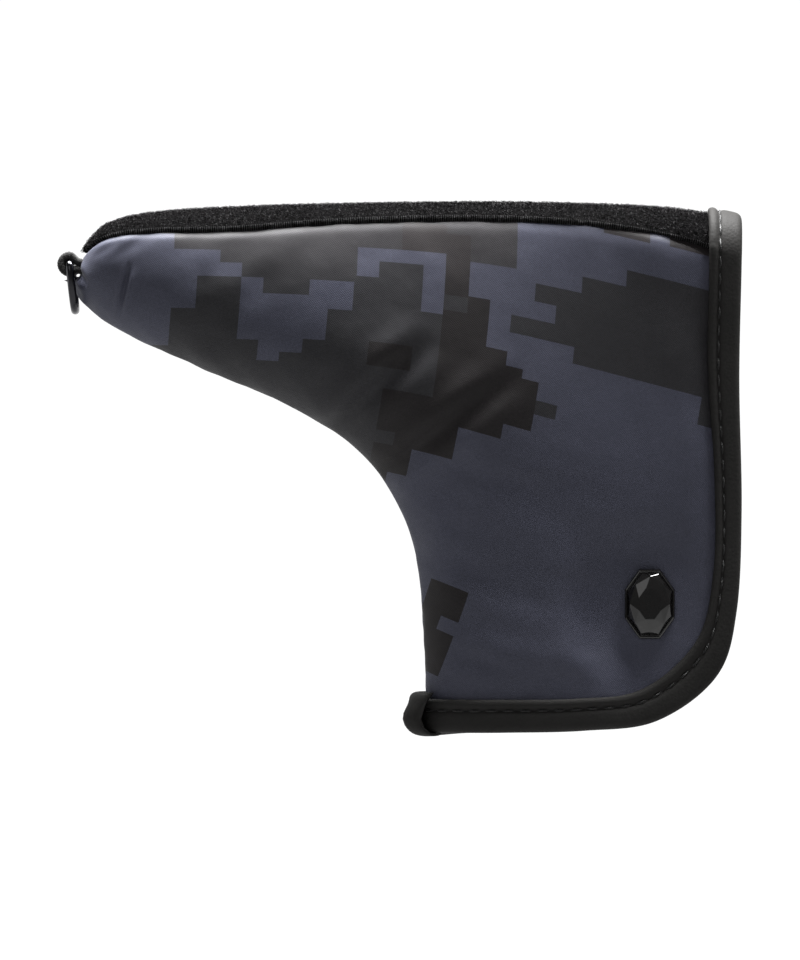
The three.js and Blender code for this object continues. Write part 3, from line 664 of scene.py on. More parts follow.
def stitch_tree():
    """One sewn stitch on each face of a ladder of faces, lying along the face's long way."""
    tree = new_tree("Stitches", [
        ("Length", "NodeSocketFloat"), ("Thread radius", "NodeSocketFloat"),
        ("Rise", "NodeSocketFloat"), ("Sink", "NodeSocketFloat"),
        ("Material", "NodeSocketMaterial"),
    ])
    given = node(tree, "NodeGroupInput").outputs
    normal = node(tree, "GeometryNodeInputNormal")
    along = node(tree, "GeometryNodeInputNamedAttribute", {"Name": "along"},
                 data_type="FLOAT_VECTOR")
    facing = node(tree, "FunctionNodeAxesToRotation", {
        0: normal.outputs[0], 1: along.outputs[0],
    }, primary_axis="Z", secondary_axis="X")
    kept = node(tree, "GeometryNodeCaptureAttribute", {"Geometry": given["Geometry"]},
                domain="FACE")
    kept.capture_items.new("ROTATION", "facing")
    tree.links.new(facing.outputs[0], kept.inputs["facing"])
    points = node(tree, "GeometryNodeMeshToPoints", {"Mesh": kept.outputs["Geometry"]},
                  mode="FACES")
    half = node(tree, "ShaderNodeMath", {0: given["Length"], 1: 0.5}, operation="MULTIPLY")
    back = node(tree, "ShaderNodeMath", {0: given["Length"], 1: -0.5}, operation="MULTIPLY")
    low = node(tree, "ShaderNodeMath", {0: given["Sink"], 1: -1.0}, operation="MULTIPLY")
    start = node(tree, "ShaderNodeCombineXYZ", {0: back.outputs[0], 2: low.outputs[0]})
    end = node(tree, "ShaderNodeCombineXYZ", {0: half.outputs[0], 2: low.outputs[0]})
    top = node(tree, "ShaderNodeCombineXYZ", {2: given["Rise"]})
    arc = node(tree, "GeometryNodeCurveQuadraticBezier", {
        "Resolution": 9, "Start": start.outputs[0], "Middle": top.outputs[0],
        "End": end.outputs[0],
    })
    ring = node(tree, "GeometryNodeCurvePrimitiveCircle", {
        "Resolution": 8, "Radius": given["Thread radius"],
    }, mode="RADIUS")
    thread = node(tree, "GeometryNodeCurveToMesh", {
        "Curve": arc.outputs[0], "Profile Curve": ring.outputs[0], "Fill Caps": True,
    })
    copies = node(tree, "GeometryNodeInstanceOnPoints", {
        "Points": points.outputs[0], "Instance": thread.outputs[0],
        "Rotation": kept.outputs["facing"],
    })
    finish_tree(tree, copies.outputs[0], given["Material"])
    return tree


def stitch_run(name, line, normals, pitch, material, length=0.74, radius=0.24, rise=1.15):
    """A ladder of small faces along a line, turned into stitches. Sizes in millimetres."""
    steps = np.linalg.norm(np.diff(line, axis=0), axis=1)
    run = np.concatenate([[0], np.cumsum(steps)])
    count = max(2, int(run[-1] / pitch))
    at = (np.arange(count) + 0.5) * run[-1] / count
    place = np.stack([np.interp(at, run, line[:, k]) for k in range(3)], -1)
    up = unit(np.stack([np.interp(at, run, normals[:, k]) for k in range(3)], -1))
    ahead = np.stack([np.interp(at + 0.3, run, line[:, k]) for k in range(3)], -1)
    behind = np.stack([np.interp(at - 0.3, run, line[:, k]) for k in range(3)], -1)
    along = unit(ahead - behind)
    side = unit(np.cross(up, along))
    points = np.concatenate([
        place - along * 0.2 - side * 0.1, place + along * 0.2 - side * 0.1,
        place + along * 0.2 + side * 0.1, place - along * 0.2 + side * 0.1,
    ])
    n = count
    mesh = bpy.data.meshes.new(name)
    faces = [(k, n + k, 2 * n + k, 3 * n + k) for k in range(n)]
    mesh.from_pydata((points * MM).tolist(), [], faces)
    kept = mesh.attributes.new("along", "FLOAT_VECTOR", "FACE")
    kept.data.foreach_set("vector", along.astype(np.float32).ravel())
    obj = bpy.data.objects.new(name, mesh)
    bpy.context.scene.collection.objects.link(obj)
    run_nodes(obj, bpy.data.node_groups.get("Stitches") or stitch_tree(), {
        "Length": pitch * length * MM, "Thread radius": radius * MM, "Rise": rise * MM,
        "Sink": radius * MM, "Material": material,
    })
    return obj


# ---- Binding ----

FOLD_GAP = 0.25
LEATHER = 0.95
STITCH_IN = 2.85  # the stitch line's distance from the binding's inner edge
STITCH_PITCH = 4.2
STITCH_FLOOR = 0.45  # the groove's floor above the binding's underside


def binding_profile():
    """The folded strip's section: distance in from the panel's edge, then height above it."""
    w, g, t = BINDING_WIDTH, FOLD_GAP, LEATHER
    low = -STACK - g
    top = [
        (w, g - 0.2), (w + 0.12, g + 0.45), (w - 0.15, g + 1.0), (w - 0.75, g + 1.3),
        (w - 1.5, g + 1.3), (w - 2.15, g + 0.95), (w - STITCH_IN, g + STITCH_FLOOR),
        (w - 3.2, g + 0.85), (w - 4.0, g + 1.12), (w - 5.4, g + t + 0.15), (1.2, g + t + 0.08),
        (0.3, g + t - 0.05), (-0.5, g + 0.5), (-1.0, g - 0.2), (-1.25, g - 1.2),
        (-BINDING_OVERHANG, -STACK / 2),
    ]
    under = [(a, -STACK - b) for a, b in reversed(top[:-1])]
    back = [(w - 0.4, low), (w / 2, low), (0.2, low), (-0.2, low + 0.4), (-0.35, -STACK / 2),
            (-0.2, g - 0.4), (0.2, g), (w / 2, g), (w - 0.4, g)]
    return np.array(top + under + back)


def dense_profile(profile, per_span=2):
    closed = np.vstack([profile[-1:], profile, profile[:2]])
    out = []
    for k in range(len(profile)):
        a, b, c, d = closed[k:k + 4]
        for w in np.arange(per_span) / per_span:
            out.append(0.5 * (2 * b + (c - a) * w + (2 * a - 5 * b + 4 * c - d) * w**2
                              + (3 * b - a - 3 * c + d) * w**3))
    return np.array(out)


class Edge:
    """The mouth's edge as stations: where a distance in from the edge and a height lie."""

    def __init__(self, stations, reach_way, points_at):
        self.points_at = points_at
        self.stations = stations
        self.reach_way = reach_way

    def loops(self, profile):
        """Sections of the profile at every station."""
        loops = np.empty((len(self.stations), len(profile), 3))
        outward = self.outward()
        for k, (inside, height) in enumerate(profile):
            p, n = self.surface(max(inside, 0.0))
            loops[:, k] = p + n * height - outward * min(inside, 0.0)
        return loops

    def outward(self):
        a, n = self.surface(0.0)
        b, _ = self.surface(0.6)
        way = unit(a - b)
        return unit(way - n * np.sum(way * n, -1, keepdims=True))

    def surface(self, inside):
        """Points and outward normals at a distance in from the edge."""
        d = 0.05
        p = self.points_at(np.full(len(self.stations), inside))
        further = self.points_at(np.full(len(self.stations), inside + d))
        along = np.gradient(p, axis=0)
        n = unit(np.cross(along, further - p))
        return p, n * self.reach_way


def panel_edge(q):
    """Stations along one panel's mouth edge, on the side with y positive."""
    v = crowd(q)
    step = 1e-3
    change = panel_point(np.full(len(q), 1.0), v) - panel_point(np.full(len(q), 1 - step), v)
    span = np.linalg.norm(change[:, [0, 2]], axis=-1) / step
    # The strip looks narrower along the bottom than up the heel.
    span /= 0.92 + 0.38 * smoothstep(v, 0.3, 0.6) - 0.3 * smoothstep(v, 0.8, 1)

    def points_at(inside):
        return panel_point(1 - inside / span, v)

    return Edge(q, 1.0, points_at)


def turned_out(edge, station, way):
    """Turns an edge's normals to the side that way points to at a station."""
    _, n = edge.surface(2.0)
    if n[station] @ np.array(way, float) < 0:
        edge.reach_way = -1.0
    return edge


def crown_edge(s):
    """Stations along the sole's end, from the middle (s = 0) to the back seam (s = 1)."""
    step = 1e-3
    change = sole_point(np.full(len(s), 1.0), s) - sole_point(np.full(len(s), 1 - step), s)
    span = np.linalg.norm(change, axis=-1) / step
    edge = Edge(s, 1.0, lambda inside: sole_point(1 - inside / span, s))
    return turned_out(edge, 0, (0, 0, 1))


def strip_line(crown, crown_part, flank_part):
    """Joins crown values to flank values, turned smoothly to meet them at the seam."""
    reach = smoothstep(crown.stations, 0.6, 1).reshape((-1,) + (1,) * (crown_part.ndim - 1))
    met = crown_part + (flank_part[-1] - crown_part[-1])[None] * reach
    return np.concatenate([met, flank_part[::-1][1:]])


def build_bindings(looks):
    profile = dense_profile(binding_profile())
    q = np.linspace(0, 1, 190)
    flank = turned_out(panel_edge(q), len(q) // 2, (0, 1, 0))
    crown = crown_edge(np.linspace(0, 1, 34))
    side_loops = flank.loops(profile)
    side_loops[..., 1] = np.maximum(side_loops[..., 1], 0.12)
    loops = strip_line(crown, crown.loops(profile), side_loops)
    loops[0, :, 1] = 0.02
    near = {"front": ("front_flap_binding", "neck_binding"),
            "back": ("back_flap_binding", "crown_binding")}
    for side, name in ((-1, "front"), (1, "back")):
        placed = loops if side > 0 else mirrored(loops)
        strip = sweep_object(f"{name}_binding_strip", placed, [looks["leather"]])
        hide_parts(*near[name])
        blend_over_crease(strip)
        sew_strip(name, crown, flank, side, looks)


def sew_strip(name, crown, flank, side, looks):
    """Stitches through the binding, on the side that faces out and on the side within."""
    flip = (lambda a: a) if side > 0 else mirrored
    crown_p, crown_n = crown.surface(BINDING_WIDTH - STITCH_IN)
    flank_p, flank_n = flank.surface(BINDING_WIDTH - STITCH_IN)
    lap_end = 6
    for label, sign, depth in (("", 1, 0.0), ("_inside", -1, STACK)):
        rise = sign * (depth + FOLD_GAP + STITCH_FLOOR)
        line = strip_line(crown, crown_p + crown_n * rise, flank_p + flank_n * rise)
        up = strip_line(crown, crown_n * sign, flank_n * sign)
        run = stitch_run(
            f"{name}_binding_stitches{label}", flip(line[:-lap_end]), flip(up[:-lap_end]),
            STITCH_PITCH, looks["thread"],
        )
        blend_over_crease(run)


def slant_lap(loops, stations):
    """Leans the lap out towards its foot and cuts its front edge on the slant."""
    low = 1 - smoothstep(loops[..., 2], 3.0, 13.0)
    foot = np.exp(-(((loops[..., 2] - 4.5) / 5.5) ** 2))
    front = smoothstep(-stations, 0.0, 0.05)[:, None]
    round_end = 1 - smoothstep(np.abs(stations), 0.05, 0.14)[:, None]
    loops[..., 0] -= 1.5 * foot * round_end + 3.4 * foot * front
    loops[..., 2] += 0.5 * low * (1 - round_end)
    return loops


def build_lap(looks):
    """The strip's end, wrapped round the foot of the inner seam and folded under."""
    w, low = BINDING_WIDTH + 1.6, -STACK - 1.4
    profile = np.array([
        (w, 0.6), (w + 0.2, 1.3), (w - 0.2, 2.3), (w - 1.2, 2.75), (w - 3.0, 2.6),
        (w - 5.0, 2.7), (1.0, 2.7), (-0.6, 2.3), (-1.6, 1.2), (-2.1, -0.6), (-2.2, -STACK / 2),
        (-2.1, -STACK + 0.4), (-1.6, low + 0.2), (0.0, low - 0.8), (w - 3.0, low - 0.9),
        (w, low - 0.6), (w + 0.1, low), (w - 1.0, low + 0.1), (0.0, low + 0.2),
        (-1.5, -STACK / 2), (0.0, 1.3), (w - 2.0, 1.3),
    ])
    profile = dense_profile(profile)
    q_front, q_back = 0.075, 0.14
    stations = np.concatenate([-np.linspace(q_front, 0, 9)[:-1], np.linspace(0, q_back, 17)])
    loops = []
    for place in stations:
        q = np.clip(np.array([abs(place) - 0.004, abs(place), abs(place) + 0.004]), 0, 1)
        loop = turned_out(panel_edge(q), 1, (-0.6, 0.8, 0)).loops(profile)[1]
        if place == 0:
            loop[:, 1] = 0.0
        loops.append(loop if place >= 0 else mirrored(loop))
    loops = slant_lap(np.array(loops), stations)
    lap = sweep_object("binding_lap_fold", loops, [looks["leather"]])
    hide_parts("binding_lap")
    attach(lap, "pouch")


# ---- Fittings ----


def on_front(points):
    """Puts a piece drawn flat, x and y across and z out, on the front under the stud."""
    x, y, z = points[..., 0], points[..., 1], points[..., 2]
    return np.stack([STUD_AT[0] + x, -(DIMPLE_HALF + z), STUD_AT[1] + y], -1)


def build_stud(looks):
    """An eight-sided cut stone in a thin bezel."""
    w, h, sides = 6.75, 9.4, 8
    turn = np.pi / sides

    def ring(scale, height, shift):
        a = np.arange(sides) / sides * 2 * np.pi + shift
        return np.stack([w * scale * np.cos(a), h * scale * np.sin(a), np.full(sides, height)], -1)

    bezel = [ring(1.0, 0.1, turn), ring(1.0, 0.9, turn), ring(0.965, 1.25, turn),
             ring(0.93, 1.25, turn), ring(0.9, 1.0, turn)]
    stone = [ring(0.9, 1.0, turn), ring(0.86, 1.5, turn), ring(0.74, 2.6, 0),
             ring(0.44, 3.35, turn)]
    rings = bezel + stone[1:]
    points = np.concatenate(rings)
    faces, n = [], sides
    for k in range(len(rings) - 1):
        zigzag = k >= len(rings) - 3
        ahead = k == len(rings) - 3
        for i in range(n):
            a, b = k * n + i, k * n + (i + 1) % n
            if not zigzag:
                faces.append((a, b, b + n, a + n))
            elif ahead:
                faces += [(a, b, b + n), (a, b + n, a + n)]
            else:
                faces += [(a, b, a + n), (b, b + n, a + n)]
    top = (len(rings) - 1) * n
    faces += [tuple(top + i for i in range(n)), tuple(reversed(range(n)))]
    stud = mesh_object("stud_stone", on_front(points), faces, [looks["enamel"]])
    stud.data.shade_flat()
    bevel = stud.modifiers.new("edges", "BEVEL")
    bevel.width, bevel.segments, bevel.limit_method = 0.12 * MM, 2, "ANGLE"
    bevel.angle_limit = math.radians(8)
    legs = []
    for y in (-4.5, 4.5):
        path = [(0, y, 0.3), (0, y, -1.6)]
        loop = tube_loops(path, (1, 0, 0), 0.6, 0.6, 12)
        legs.append(sweep_object("stud_leg", on_front(loop), [looks["enamel"]]))
    join([stud] + legs)
    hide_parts("stud")
    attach(stud, "front_flap")


def join(objects):
    """Joins objects into the first, in code, keeping its modifiers."""
    first, rest = objects[0], objects[1:]
    bm = bmesh.new()
    bm.from_mesh(first.data)
    for obj in rest:
        bm.from_mesh(obj.data)
    bm.to_mesh(first.data)
    bm.free()
    for obj in rest:
        bpy.data.objects.remove(obj)


BAR_AT = (-113.4, 117.9)
RING_LEAN = math.radians(6)
RING_WIRE, RING_WIDTH, RING_HEIGHT = 2.0, 17.0, 13.6
TAB_WIDTH, TAB_RADIUS, TAB_THICK = 12.0, 3.1, 1.9
TAB_SEWN_X = -109.2  # where the ribbon goes into the toe
TAB_PINCH = 0.97  # the ribbon's legs close to this from the middle where they are sewn in


def ring_path():
    """The D's centre line: a straight bar on top and a round bow below."""
    w = RING_WIDTH / 2 - RING_WIRE / 2
    low = -(RING_HEIGHT - RING_WIRE)
    corner = 1.3
    points = []
    for y in np.linspace(-w + corner, w - corner, 12):
        points.append((y, 0.0))
    for a in np.linspace(np.pi / 2, 0, 7)[1:]:
        points.append((w - corner + corner * np.cos(a), -corner + corner * np.sin(a)))
    bow = -low - corner
    for a in np.linspace(0, -np.pi, 40)[1:-1]:
        swell = abs(np.sin(a)) ** 0.85
        points.append((w * np.sign(np.cos(a)) * abs(np.cos(a)) ** 0.8, -corner - bow * swell))
    for a in np.linspace(np.pi, np.pi / 2, 7)[:-1]:
        points.append((-w + corner + corner * np.cos(a), -corner + corner * np.sin(a)))
    return np.array(points)


def build_ring(looks):
    flat = ring_path()
    lean = np.array([math.sin(RING_LEAN), 0, -math.cos(RING_LEAN)])
    path = np.array([BAR_AT[0], 0, BAR_AT[1]]) + flat[:, :1] * np.array([0, 1, 0]) \
        - flat[:, 1:] * lean
    out = np.cross(lean, (0, 1, 0))
    loops = tube_loops(path, out, RING_WIRE / 2, RING_WIRE / 2, 20, closed=True)
    ring = sweep_object("d_ring_wire", loops, [looks["nickel"]], closed=True)
    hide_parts("d_ring")
    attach(ring, "ring")


def build_tab(looks):
    """The ribbon, bent round the bar, with a raised rib at every weft."""
    end = TAB_SEWN_X - BAR_AT[0]
    mid = TAB_RADIUS - TAB_THICK / 2
    arc = [(-mid * math.sin(a), mid * math.cos(a)) for a in np.linspace(0, np.pi, 46)]
    leg = np.linspace(end, 0, 16)[:-1]
    height = lerp(mid, TAB_PINCH, smoothstep(leg, 0.0, 1.9))
    sag = 0.8 * smoothstep(leg, 0.0, end)
    top, bottom = np.stack([leg, height - sag], -1), np.stack([leg, -height - sag], -1)
    path = np.concatenate([top, arc, bottom[::-1]])
    tangent = unit(np.gradient(path, axis=0))
    normal = np.stack([tangent[:, 1], -tangent[:, 0]], -1)
    length = np.concatenate([[0], np.cumsum(np.linalg.norm(np.diff(path, axis=0), axis=1))])
    fine = np.linspace(0, length[-1], 150)
    path = np.stack([np.interp(fine, length, path[:, k]) for k in (0, 1)], -1)
    normal = unit(np.stack([np.interp(fine, length, normal[:, k]) for k in (0, 1)], -1))
    rib = 0.035 * np.cos(2 * np.pi * fine / 0.5)
    half = TAB_THICK / 2
    y = np.linspace(-TAB_WIDTH / 2, TAB_WIDTH / 2, 25)
    edge = 1 - 0.35 * bell(TAB_WIDTH / 2 - np.abs(y), 0.35)

    def face(sign):
        off = sign * (half * edge[None] + rib[:, None])
        grid = path[:, None] + normal[:, None] * off[..., None]
        return np.stack([BAR_AT[0] + grid[..., 0], np.broadcast_to(y, off.shape),
                         BAR_AT[1] + grid[..., 1]], -1)

    tab = slab_object("ribbon_tab", face(1), face(-1), [looks["ribbon"]] * 2)
    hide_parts("ring_tab")
    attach(tab, "pouch")


# ---- Shader groups ----


def shader_group(name, inputs, outputs):
    tree = bpy.data.node_groups.new(name, "ShaderNodeTree")
    for label, kind, value in inputs:
        socket = tree.interface.new_socket(label, in_out="INPUT", socket_type=kind)
        if value is not None:
            socket.default_value = value
    for label, kind in outputs:
        tree.interface.new_socket(label, in_out="OUTPUT", socket_type=kind)
    return tree


def maths(tree, operation, a, b=None, c=None, clamp=False):
    links = {k: v for k, v in enumerate((a, b, c)) if v is not None}
    return node(tree, "ShaderNodeMath", links, operation=operation, use_clamp=clamp).outputs[0]


FLOAT, VECTOR = "NodeSocketFloat", "NodeSocketVector"


def weave_group():
    """Fine twill: slanted ribs broken by the crossing threads."""
    tree = shader_group("Twill weave", [
        ("Vector", VECTOR, None), ("Thread", FLOAT, 0.0005), ("Unevenness", FLOAT, 0.3),
    ], [("Height", FLOAT), ("Tint", FLOAT)])
    given = node(tree, "NodeGroupInput").outputs
    parts = node(tree, "ShaderNodeSeparateXYZ", {0: given["Vector"]}).outputs
    turns = maths(tree, "DIVIDE", 2 * math.pi, given["Thread"])
    slant = maths(tree, "ADD", parts["X"], maths(tree, "MULTIPLY", parts["Z"], 0.85))
    rib = maths(tree, "SINE", maths(tree, "MULTIPLY", slant, turns))
    cross = maths(tree, "SUBTRACT", parts["Z"], maths(tree, "MULTIPLY", parts["X"], 0.35))
    pick = maths(tree, "SINE", maths(tree, "MULTIPLY", cross, turns))
    both = maths(tree, "ADD", maths(tree, "MULTIPLY", rib, 0.6), maths(tree, "MULTIPLY", pick, 0.4))
    slub = node(tree, "ShaderNodeTexNoise", {
        "Vector": given["Vector"], "Scale": 900.0, "Detail": 2.0, "Roughness": 0.6,
    }).outputs["Fac"]
    uneven = maths(tree, "MULTIPLY", maths(tree, "SUBTRACT", slub, 0.5), given["Unevenness"])
    height = maths(tree, "ADD", maths(tree, "MULTIPLY_ADD", both, 0.5, 0.5), uneven)
    tint = maths(tree, "MULTIPLY_ADD", height, 0.3, 0.85)
    node(tree, "NodeGroupOutput", {"Height": height, "Tint": tint})
    return tree


def grain_group():
    """Leather grain: small uneven pebbles with creases between them."""
    tree = shader_group("Leather grain", [
        ("Vector", VECTOR, None), ("Pebbles", FLOAT, 1400.0), ("Wear", FLOAT, 0.5),
    ], [("Height", FLOAT), ("Worn", FLOAT)])
    given = node(tree, "NodeGroupInput").outputs
    cells = node(tree, "ShaderNodeTexVoronoi", {
        "Vector": given["Vector"], "Scale": given["Pebbles"], "Randomness": 1.0,
    }, feature="F1").outputs["Distance"]
    soft = node(tree, "ShaderNodeTexNoise", {
        "Vector": given["Vector"], "Scale": 420.0, "Detail": 4.0, "Roughness": 0.6,
    }).outputs["Fac"]
    height = maths(tree, "SUBTRACT", soft, maths(tree, "MULTIPLY", cells, 0.8))
    patches = node(tree, "ShaderNodeTexNoise", {
        "Vector": given["Vector"], "Scale": 60.0, "Detail": 3.0, "Roughness": 0.55,
    }).outputs["Fac"]
    above = maths(tree, "SUBTRACT", patches, 0.45)
    worn = maths(tree, "MULTIPLY", above, given["Wear"], clamp=True)
    node(tree, "NodeGroupOutput", {"Height": height, "Worn": worn})
    return tree


def patch_group():
    """Broad uneven patches, for dye, dust and sheen that vary over a surface."""
    tree = shader_group("Uneven patches", [
        ("Vector", VECTOR, None), ("Scale", FLOAT, 40.0), ("Low", FLOAT, 0.0), ("High", FLOAT, 1.0),
    ], [("Value", FLOAT)])
    given = node(tree, "NodeGroupInput").outputs
    noise = node(tree, "ShaderNodeTexNoise", {
        "Vector": given["Vector"], "Scale": given["Scale"], "Detail": 3.0, "Roughness": 0.55,
    }).outputs["Fac"]
    mapped = node(tree, "ShaderNodeMapRange", {
        "Value": noise, "From Min": 0.3, "From Max": 0.7,
        "To Min": given["Low"], "To Max": given["High"],
    })
    node(tree, "NodeGroupOutput", {"Value": mapped.outputs["Result"]})
    return tree


# The print's blocks, in blocks of the cloth: left, bottom, right and top of each area.
FAR = 45.0
CHARCOAL = (
    (-16.1, 5, -15, 25.6), (-15, 5, -13, 27.7), (-13, 5, -12, 23.7), (-12, 5, -11, 22.4),
    (-11, 5, -10, 23.0), (-10, 5, -9, 23.9), (-9, 5, -7.9, 25.9), (-7.9, 5, -6.8, 28.1),
    (-6.8, 5, -5.2, 29.2), (-5.2, 16.2, -4.8, 29.2), (-17.1, 5, -16.1, 23.2),
    (-4.8, 21, -3.8, 26.3),
    (4.4, 29.9, 12, 30.8), (2.4, 29, 12, 29.9), (0.3, 28, 12, 29), (1.3, 27, 12, 28),
    (-0.7, 26, 12, 27), (2.3, 25.1, 12, 26), (8.4, 23.6, 12, 25.1), (0.9, 21.8, 1.9, 22.6),
)
GREY = (
    (-16.1, 29.4, -14, FAR), (-14, 28.6, -13, FAR), (-13, 27.7, -7.8, FAR),
    (-12, 26.7, -9.9, 27.7), (-7.8, 29.9, -3.8, FAR), (-17.0, 30.4, -16.1, FAR),
    (-3.8, 31.1, -2.7, FAR),
    (-2.7, 29.6, -0.6, FAR),
)
BROWN = (
    (-5.8, 29.9, -4.8, FAR), (-4.8, 29.9, -3.8, 31.6), (-3.8, 26.6, -2.7, 31.1),
    (-2.7, 25, -1.7, 27.6), (-3.8, 19.9, -1.7, 26.6), (-1.7, 19.9, -0.7, 24.9),
    (-0.7, 20.8, 0.1, 24.1), (0.1, 20.8, 0.9, 23.6), (-0.7, 19.9, -0.4, 20.8),
    (-6.1, 16.2, -4.3, 21.3), (-4.3, 17.9, -2.4, 21.3), (-6.1, 5, -5.2, 16.2),
    (-7, 22.6, -5, 24.1), (3.3, 32.5, 5.4, FAR), (6.3, 32.6, 12, FAR),
    (-1.9, 8.5, 0, 10.5), (-2.8, 7.6, -0.9, 8.5), (-1.6, 4.8, 0, 7.6),
)
DUSKY = ((-3.8, 26.6, -2.7, 27.5), (-6.2, 17.9, -5.2, 18.7), (-5.9, 21.3, -3.8, 22.3))
SLATE = ((-7.8, 28.1, -6.8, 29.9), (-6.8, 29.1, -3.8, 29.9), (-4.8, 26.3, -3.8, 29.2))


def blocks_mask(tree, a, b, areas):
    """1 inside any of the areas, 0 outside them."""
    total = None
    for left, bottom, right, top in areas:
        across = maths(tree, "COMPARE", a, (left + right) / 2, (right - left) / 2)
        up = maths(tree, "COMPARE", b, (bottom + top) / 2, (top - bottom) / 2)
        inside = maths(tree, "MULTIPLY", across, up)
        total = inside if total is None else maths(tree, "MAXIMUM", total, inside)
    return total


def print_group():
    """The cloth's digital print as masks, one for each ink, with faintly bled edges, and a mask of
    painted light that rises from 0 lower down to 1 near the top.
    """
    tree = shader_group("Block print", [("Vector", VECTOR, None), ("Bleed", FLOAT, 0.02)], [
        ("Charcoal", FLOAT), ("Grey", FLOAT), ("Brown", FLOAT), ("Dusky", FLOAT), ("Slate", FLOAT),
        ("Fade", FLOAT),
    ])
    given = node(tree, "NodeGroupInput").outputs
    wobble = node(tree, "ShaderNodeTexNoise", {
        "Vector": given["Vector"], "Scale": 14.0, "Detail": 2.0,
    }).outputs["Color"]
    centred = node(tree, "ShaderNodeVectorMath", {0: wobble, 1: (0.5, 0.5, 0.5)},
                   operation="SUBTRACT")
    scaled = node(tree, "ShaderNodeVectorMath", {0: centred.outputs[0], "Scale": given["Bleed"]},
                  operation="SCALE")
    moved = node(tree, "ShaderNodeVectorMath", {0: given["Vector"], 1: scaled.outputs[0]},
                 operation="ADD")
    parts = node(tree, "ShaderNodeSeparateXYZ", {0: moved.outputs[0]}).outputs
    masks = {"Charcoal": CHARCOAL, "Grey": GREY, "Brown": BROWN, "Dusky": DUSKY, "Slate": SLATE}
    links = {k: blocks_mask(tree, parts["X"], parts["Y"], v) for k, v in masks.items()}
    # Painted light by the print's height: lower down the grey ink is painted in shade as charcoal,
    # and near the lit top the brown ink is painted lighter.
    links["Fade"] = node(tree, "ShaderNodeMapRange", {
        "Value": parts["Y"], "From Min": 27.0, "From Max": 30.5, "To Min": 0.0, "To Max": 1.0,
    }).outputs["Result"]
    node(tree, "NodeGroupOutput", links)
    return tree


GROUPS = {
    "Twill weave": weave_group, "Leather grain": grain_group, "Uneven patches": patch_group,
    "Block print": print_group,
}


def shared_group(name):
    return bpy.data.node_groups.get(name) or GROUPS[name]()


# ---- Materials ----


class Finish:
    """A material under way: its tree, its Principled shader and its groups by name."""

    def __init__(self, name):
        self.material = bpy.data.materials.new(name)
        self.material.use_nodes = True
        self.tree = self.material.node_tree
        self.tree.nodes.clear()
        self.shader = self.tree.nodes.new("ShaderNodeBsdfPrincipled")
        node(self.tree, "ShaderNodeOutputMaterial", {"Surface": self.shader.outputs[0]})
        coordinates = self.tree.nodes.new("ShaderNodeTexCoord")
        self.place = coordinates.outputs["Object"]

    def group(self, name, **values):
        made = self.tree.nodes.new("ShaderNodeGroup")
        made.node_tree = shared_group(name)
        self.tree.links.new(self.place, made.inputs["Vector"])
        for key, value in values.items():
            made.inputs[key.replace("_", " ")].default_value = value
        return made.outputs

    def set(self, **values):
        for key, value in values.items():
            self.shader.inputs[key.replace("_", " ")].default_value = value

    def link(self, socket, name):
        self.tree.links.new(socket, self.shader.inputs[name])

    def bump(self, height, distance, strength=1.0, under=None):
        links = {"Height": height, "Distance": distance, "Strength": strength}
        if under is not None:
            links["Normal"] = under
        return node(self.tree, "ShaderNodeBump", links).outputs[0]

    def mix(self, factor, a, b, blend="MIX"):
        made = node(self.tree, "ShaderNodeMix", {0: factor}, data_type="RGBA", blend_type=blend)
        for socket, value in ((made.inputs[6], a), (made.inputs[7], b)):
            if isinstance(value, bpy.types.NodeSocket):
                self.tree.links.new(value, socket)
            else:
                socket.default_value = (*value, 1.0)
        return made.outputs[2]

    def grey(self, value):
        """A value as a colour."""
        return node(self.tree, "ShaderNodeCombineColor", {0: value, 1: value, 2: value}).outputs[0]


def print_finish(colours):
    f = Finish("printed_twill")
    uv = node(f.tree, "ShaderNodeUVMap", uv_map="print").outputs[0]
    inks = f.tree.nodes.new("ShaderNodeGroup")
    inks.node_tree = shared_group("Block print")
    f.tree.links.new(uv, inks.inputs["Vector"])
    masks = inks.outputs
    # Painted light: lower down the grey ink is painted in shade as charcoal, and near the top the
    # brown ink is painted lighter, as a painted highlight.
    grey = f.mix(masks["Fade"], colours.charcoal, colours.grey)
    brown = f.mix(masks["Fade"], colours.brown, colours.brown_painted_lit)
    colour = f.mix(masks["Charcoal"], colours.slate, colours.charcoal)
    colour = f.mix(masks["Grey"], colour, grey)
    colour = f.mix(masks["Brown"], colour, brown)
    colour = f.mix(masks["Dusky"], colour, colours.charcoal)
    colour = f.mix(masks["Slate"], colour, colours.slate)
    weave = f.group("Twill weave", Thread=0.00055, Unevenness=0.5)
    patches = f.group("Uneven patches", Scale=35.0, Low=0.93, High=1.07)
    flecks = f.group("Uneven patches", Scale=2600.0, Low=0.82, High=1.18)
    tinted = f.mix(1.0, colour, f.grey(weave["Tint"]), "MULTIPLY")
    tinted = f.mix(1.0, tinted, f.grey(flecks["Value"]), "MULTIPLY")
    f.link(f.mix(1.0, tinted, f.grey(patches["Value"]), "MULTIPLY"), "Base Color")
    rough = f.group("Uneven patches", Scale=90.0, Low=0.5, High=0.62)
    f.link(rough["Value"], "Roughness")
    fine = f.bump(weave["Height"], 0.00006, 0.5)
    soft = f.group("Uneven patches", Scale=55.0, Low=0.0, High=1.0)
    f.link(f.bump(soft["Value"], 0.0006, 0.35, fine), "Normal")
    f.set(Sheen_Weight=0.05, Sheen_Roughness=0.4, Specular_IOR_Level=0.3)
    return f.material


